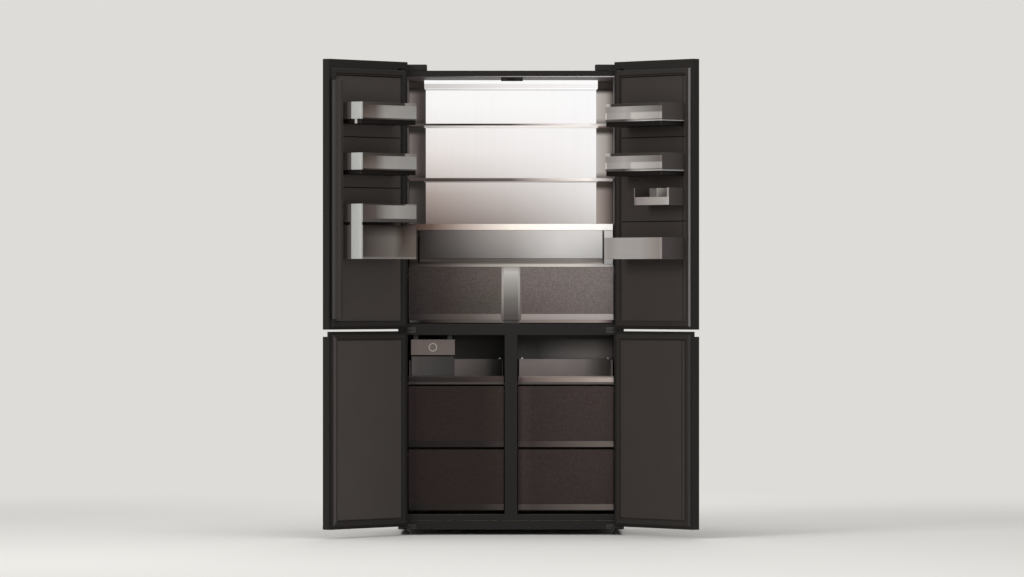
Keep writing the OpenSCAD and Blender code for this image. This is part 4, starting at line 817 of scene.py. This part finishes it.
RING_TURNS, RING_SIDES = 56, 8
rows = []
for i in range(RING_TURNS):
    a = 2 * math.pi * i / RING_TURNS
    rows.append([])
    for j in range(RING_SIDES):
        b = 2 * math.pi * j / RING_SIDES
        r = RING_R + RING_W / 2 * math.cos(b)
        rows[-1].append(RING_AT + Vector((r * math.cos(a), RING_RISE * math.sin(b), r * math.sin(a))))
ring_metal = new_finish("satin_chrome_ring", "#A39C96", 0.3, patch=10, grain=0.8, shine=0.3)
put_in_scene("ice_maker_ring", closed_tube("ice_maker_ring", rows), "cabinet", [ring_metal])


# Doors
# Each door is a folded steel casing with a brushed dark coat, foam inside, and a formed inner
# panel of dark taupe plastic, painted lighter on the left doors than on the right as painted light,
# with pressed lines and a gap along the gasket's seat that are painted dark as shadow.
OPEN = math.radians(132.5)
HINGE = Vector((-0.439, -0.027, 0))


def on_door(side):
    """Puts what is drawn on the closed left door, in metres from the cabinet's front, on the
    open door of that side."""
    swing = Matrix.Translation(HINGE) @ Matrix.Rotation(-OPEN, 4, "Z") @ Matrix.Translation(-HINGE)
    mirror = Matrix.Scale(-1, 4, (1, 0, 0)) if side == "right" else Matrix.Identity(4)
    return Matrix.Translation((0, FRONT_Y, 0)) @ mirror @ swing


casing_coat = new_finish("brushed_dark_door_coat", "#201F1D", 0.42, patch=120, grain=1.2,
                         relief=0.012, stretch=(1, 1, 0.03), shine=0.1)
# Lit and shaded copies of one plastic: painted light on the left doors, painted shade on the right.
left_panel_painted_lighter = new_finish("formed_dark_taupe_panel", "#433E3B", 0.5, patch=140, grain=2.0,
                        relief=0.03, shine=0.12)
right_panel_painted_darker = new_finish("formed_dark_taupe_panel_right", "#37322F", 0.5, patch=140, grain=2.0,
                         relief=0.03, shine=0.12)
painted_shadow_line = new_finish("shadowed_pressed_line", "#191615", 0.6, patch=40, grain=2.0, relief=0.02,
                       shine=0.05)
DOORS = (("ul", "upper", "left"), ("ur", "upper", "right"), ("ll", "lower", "left"), ("lr", "lower", "right"))
SEAT_X = (-438, -17)                                        # across the gasket's seat
SEAT_Z = {"upper": (838, 1866), "lower": (46, 810)}         # up the gasket's seat, by level
PRESSED_Z = (1592, 1391, 1260)                              # lines pressed across an upper panel


def of_panel(p, n):
    """Picks the border outside the gasket, and the lines pressed across an upper panel, painted dark as
    shadow.
    """
    if not (SEAT_X[0] <= p.x <= SEAT_X[1] and low < p.z < high):
        return 2
    near_line = min(abs(p.z - z) for z in PRESSED_Z) < 2.6
    return 1 if near_line and -10.6 < p.y < -8.2 and -411 < p.x < -44 else 0


for code, level, side in DOORS:
    body = "door_" + level + "_" + side
    low, high = SEAT_Z[level]
    dress("door_" + code + "_casing", body, [casing_coat], 0.7, 3)
    dress("door_" + code + "_liner", body,
          [left_panel_painted_lighter if side == "left" else right_panel_painted_darker, painted_shadow_line, casing_coat], 0.9, 3, pick=of_panel,
          place=on_door(side), cuts=[((x, 0, 0), (1, 0, 0)) for x in SEAT_X[::-1]] + level_cuts(low, high))
    low, high = low + 28, high - 28
    # Thin dark strips painted as the shadow along the gasket's inner edge, and on the right doors a dark line
    # along the free side.
    lines = [((-416, -8, low), (-412.5, -7.6, high))]
    if level == "upper":
        lines.append(((-412, -8, 1834.5), (-41, -7.6, 1840)))
    if side == "right":
        face = -8 if level == "upper" else -2.8
        lines.append(((-61.5, face, low), (-58.5, face + 0.4, high)))
    boxes("painted_shadow_strips_" + code, body, [painted_shadow_line], lines, 0.1, 1, place=on_door(side))


# Gaskets
# Extruded soft PVC, welded at the corners: a foot that snaps into the panel, a pinched
# bellows and a magnet pocket on top. Profile points are (inwards, outwards) in mm.
def pvc(name, colour):
    """Soft PVC with a matt, slightly dusty skin."""
    return new_finish(name, colour, 0.62, grain=1.2, shine=0.12)


soft_pvc = pvc("soft_dark_pvc", "#292624")
# One flank of each gasket's free side gets its own tone per door, painted light and shade, palest on the right
# upper door.
LIP_PAINTED_LIGHT = {"ul": pvc("lit_pvc_left", "#272422"), "ll": pvc("lit_pvc_lower_left", "#4A4543"),
           "ur": pvc("lit_pvc_right", "#74706F"), "lr": pvc("lit_pvc_lower_right", "#3B3737")}
PROFILE = ((0, 0), (0.2, 1.9), (1.6, 2.6), (4.2, 3.1), (4.6, 4.2), (3.2, 5.0), (3.0, 6.6), (4.0, 7.7),
           (12.0, 7.7), (20.0, 7.7), (21.0, 6.6), (20.8, 5.0), (19.4, 4.2), (19.8, 3.1), (22.4, 2.6),
           (23.8, 1.9), (24, 0))
LIP_END = 7      # the profile's faces before this one are the outer flank of the loop
for code, level, side in DOORS:
    place = on_door(side)
    rows = []
    for inward, outward in PROFILE:
        x0, x1 = SEAT_X[0] + inward, SEAT_X[1] - inward
        z0, z1 = SEAT_Z[level][0] + inward, SEAT_Z[level][1] - inward
        rows.append([place @ (Vector((x, outward - 8.0, z)) / 1000)
                     for x, z in ((x0, z0), (x1, z0), (x1, z1), (x0, z1))])
    mesh = closed_tube("gasket_" + code, rows,
                       lambda i, j: 1 if j == 1 and (i < LIP_END) == (side == "right") else 0)
    soften(put_in_scene("gasket_" + code, mesh, "door_" + level + "_" + side,
                        [soft_pvc, LIP_PAINTED_LIGHT[code]], ["door_" + code + "_gasket"]), 0.25)


# Flip bar
# A moulded bar with a satin face on the free edge of the left upper door, which folds flat
# as the door opens.
# Its face is painted lighter at the outer edge and darker just inside it, painted light and shade.
flip_bar_painted_light = run_finish(
    "satin_dark_bar_painted_light", 0.45, patch=90, relief=0.02, shade=0.03, shine=0.12,
    rows=[(1300, (-703, "#3E3B3A"), (-690, "#2A2725"), (-680, "#2F2C2A"), (-660, "#353230"))])
dress("flip_mullion", "flip_bar", [flip_bar_painted_light], 1.2, 3)


# Door bins
# Moulded tubs behind a guard band with a light grey metallic film, brushed upright, that wraps
# round the ends, with painted light and highlights across the film. Below the band is a skirt of
# smoked plastic, painted near-black for the shade behind it. The deep box on the left is smoked.
def band_film_painted_light(name, rows, **sockets):
    """Brushed metallic film in the colours of a colour run that carries painted light."""
    return run_finish(name, 0.4, rows, grain=3.5, relief=0.008, stretch=(1, 1, 0.02), shade=0.03,
                      shine=0.1, **sockets)


def plain_smoke(name, colour):
    """Smooth smoked plastic."""
    return new_finish(name, colour, 0.4, relief=0.01, shine=0.12)


# The guards' runs across are painted light, with their brightest stretches as painted highlights.
LEFT_FOOT_PAINTED_LIGHT = ((-580, "#665D58"), (-536, "#756C67"), (-497, "#A19D9A"), (-380, "#989896"), (-372, "#C8C8C6"))
LEFT_HEAD_PAINTED_LIGHT = ((-580, "#423833"), (-536, "#5A504B"), (-500, "#908D89"), (-453, "#9A9693"), (-380, "#95928D"))
left_guard_painted_light = band_film_painted_light("brushed_guard_left_painted_light", [
    (1461, *LEFT_FOOT_PAINTED_LIGHT), (1519, *LEFT_HEAD_PAINTED_LIGHT), (1662, *LEFT_FOOT_PAINTED_LIGHT), (1720, *LEFT_HEAD_PAINTED_LIGHT)])
RIGHT_FOOT_PAINTED_LIGHT = ((371, "#D8D0CD"), (378, "#D8D0CD"), (383, "#8A8582"), (449, "#A19C99"), (470, "#989390"),
              (480, "#B5B0AC"), (583, "#938E8B"))
RIGHT_HEAD_PAINTED_LIGHT = ((392, "#847F7D"), (449, "#9A9592"), (527, "#7D7A76"), (583, "#655E5B"))
right_guard_painted_light = band_film_painted_light("brushed_guard_right_painted_light", [
    (1490, *RIGHT_FOOT_PAINTED_LIGHT), (1494, *RIGHT_HEAD_PAINTED_LIGHT), (1560, *RIGHT_HEAD_PAINTED_LIGHT), (1620, *RIGHT_FOOT_PAINTED_LIGHT), (1688, *RIGHT_FOOT_PAINTED_LIGHT),
    (1692, *RIGHT_HEAD_PAINTED_LIGHT)])
# The bead's run from dark to pale is painted light.
bead = band_film_painted_light("guard_bead_painted_light", [
    (1450, (374, "#3D3533"), (449, "#4A4645"), (527, "#B0AFAD"), (583, "#9D9C9A"))])
under_guard = band_film_painted_light("shade_under_guard", [
    (1450, (-580, "#332B28"), (-450, "#55504D"), (385, "#565151"), (450, "#3D3A37"), (490, "#8E8985"),
     (583, "#6A6562"))])
# On the wrapped end of the left door's bins this pale is painted light, as the same film on the right door is
# dark; the clip shares it.
pale_clip_and_lit_wrapped_end = plain_smoke("pale_clip_and_wrapped_end_painted_light", "#A2A2A0")
# Bright stretches on the rim are painted highlights.
rim_painted_highlight = band_film_painted_light("smoked_clear_rim", [
    (1500, (-580, "#45413E"), (-424, "#35322F"), (-418, "#928B87"), (-375, "#756D6A"),
     (375, "#A8A09D"), (392, "#A8A09D"), (398, "#35312E"), (583, "#37332F"))])
left_end = plain_smoke("smoked_end_wall", "#4A4442")
right_end_near = plain_smoke("smoked_end_wall_near", "#464040")
right_end = plain_smoke("smoked_end_wall_right", "#433E3B")
# Smoked plastic, painted near-black for the shade behind it.
skirt = plain_smoke("smoked_skirt_painted_shade", "#14110F")
WRAP_Y, WRAP_X = 67.0, -64.0
wrap_cuts = [((0, WRAP_Y, 0), (0, 1, 0)), ((WRAP_X, 0, 0), (1, 0, 0))]


SKIRT_TOP, BEAD_TOP, GUARD_TOP = -10, -6, 50.5      # from the foot of a guard


def guarded(feet, lefthand):
    """Picks the finishes of a set of bins from the heights of their guards' feet: the guard, the
    end that it wraps on the left door, the end wall, the skirt, the bead, its shade and the rim."""
    def pick(p, n):
        rise = next((p.z - foot for foot in feet if -11 < p.z - foot < 80), -20)
        if rise > BEAD_TOP and lefthand and p.y > WRAP_Y and p.x > WRAP_X:
            return 1
        if rise > BEAD_TOP and abs(n.x) > 0.9:
            return 2
        return (3 if rise < SKIRT_TOP else 4 if rise < BEAD_TOP else 5 if rise < 0
                else 0 if rise < GUARD_TOP else 6)
    return pick


dress("bins_left", "door_upper_left",
      [left_guard_painted_light, pale_clip_and_lit_wrapped_end, left_end, skirt, skirt, under_guard, rim_painted_highlight], 1.0, 3,
      pick=guarded((1667, 1466), True), place=on_door("left"),
      cuts=wrap_cuts + level_cuts(1667, 1717.5, 1661.5, 1466, 1516.5, 1460.5))
boxes("bin_clip", "door_upper_left", [pale_clip_and_lit_wrapped_end], [((-55.2, 86, 1643), (-51.8, 98, 1661.5))], 0.6,
      place=on_door("left"))
dress("bins_right", "door_upper_right",
      [right_guard_painted_light, right_end_near, right_end, skirt, bead, under_guard, rim_painted_highlight], 1.0, 3,
      pick=guarded((1664, 1467), False), place=on_door("right"),
      cuts=level_cuts(1664, 1714.5, 1658, 1654, 1467, 1517.5, 1461, 1457))

# The deep box: a pale tray on a darker rim over a see-through box. The tray's run is painted light,
# and the box is painted dark at the top as shade and paler lower down as painted light.
box_tray_painted_light = band_film_painted_light("brushed_box_tray_painted_light", [
    (1300, (-580, "#4E4544"), (-536, "#5C534F"), (-497, "#8C8884"), (-453, "#A09C99"), (-386, "#908D8A"))])
tray_rim = plain_smoke("smoked_tray_rim", "#4E4946")
box_smoke_painted_shade = band_film_painted_light("smoked_box_painted_shade", [
    (1114, (-580, "#787473"), (-386, "#857E78")),
    (1118, (-580, "#48403E"), (-469, "#746D67"), (-442, "#605A54"), (-386, "#70655F")),
    (1190, (-580, "#453D3B"), (-461, "#75706A"), (-430, "#4F443E"), (-386, "#6D625C")),
    (1242, (-580, "#201718"), (-497, "#1C1411"), (-430, "#221A17"), (-386, "#4F4543"))], Alpha=0.92)


RIM_FOOT, TRAY_BAND_FOOT, TRAY_RIM_FOOT = 1321, 1268, 1250


def two_tier(p, n):
    """Picks wrapped end and end wall, and then tray, rim or box by height."""
    if p.y > WRAP_Y and p.x > WRAP_X:
        return 1
    if abs(n.x) > 0.9:
        return 2
    return 5 if p.z > RIM_FOOT else 0 if p.z > TRAY_BAND_FOOT else 3 if p.z > TRAY_RIM_FOOT else 4


dress("two_tier_box", "door_upper_left",
      [box_tray_painted_light, pale_clip_and_lit_wrapped_end, left_end, tray_rim, box_smoke_painted_shade, rim_painted_highlight], 1.0, 3,
      pick=two_tier, place=on_door("left"), cuts=wrap_cuts + level_cuts(TRAY_BAND_FOOT, RIM_FOOT))

# The low bin, and the small bin with its cut-away front and a partition.
# Both fronts carry painted light in their runs across, darker towards one end.
low_front_painted_light = band_film_painted_light("brushed_low_bin_painted_light", [
    (1150, (374, "#98938F"), (390, "#8D8886"), (429, "#989491"), (508, "#95918E"), (579, "#817A76"))])
dress("low_bin", "door_upper_right", [low_front_painted_light, right_end_near, right_end, skirt], 1.0, 3,
      pick=lambda p, n: 3 if n.x < -0.3 else 0 if n.x < 0.9 else 1 if p.y > WRAP_Y else 2,
      place=on_door("right"), cuts=wrap_cuts[:1])
small_front_painted_light = band_film_painted_light("brushed_small_bin_painted_light", [
    (1340, (484, "#4C4747"), (500, "#857C7D"), (587, "#99958F"), (614, "#9E9A97"))])
small_post = plain_smoke("smoked_small_bin", "#8A8480")
small_inside = plain_smoke("smoked_small_bin_inside", "#7E7874")


SMALL_FRONT_Y, SMALL_GUARD_TOP = 76, 1354


def small_bin(p, n):
    """Picks the front guard, the posts over it, the end walls and the inside."""
    if abs(n.x) > 0.9:
        return 2
    return 3 if p.y < SMALL_FRONT_Y else 0 if p.z < SMALL_GUARD_TOP + 0.5 else 1


dress("small_bin", "door_upper_right", [small_front_painted_light, small_post, right_end, small_inside], 0.9, 3,
      pick=small_bin, place=on_door("right"), cuts=level_cuts(SMALL_GUARD_TOP))
boxes("small_bin_partition", "door_upper_right", [plain_smoke("clear_partition", "#AFA9A4")],
      [((-120.5, -7.5, 1326.0), (-118.5, 77.5, 1389.0))], 0.6, place=on_door("right"))
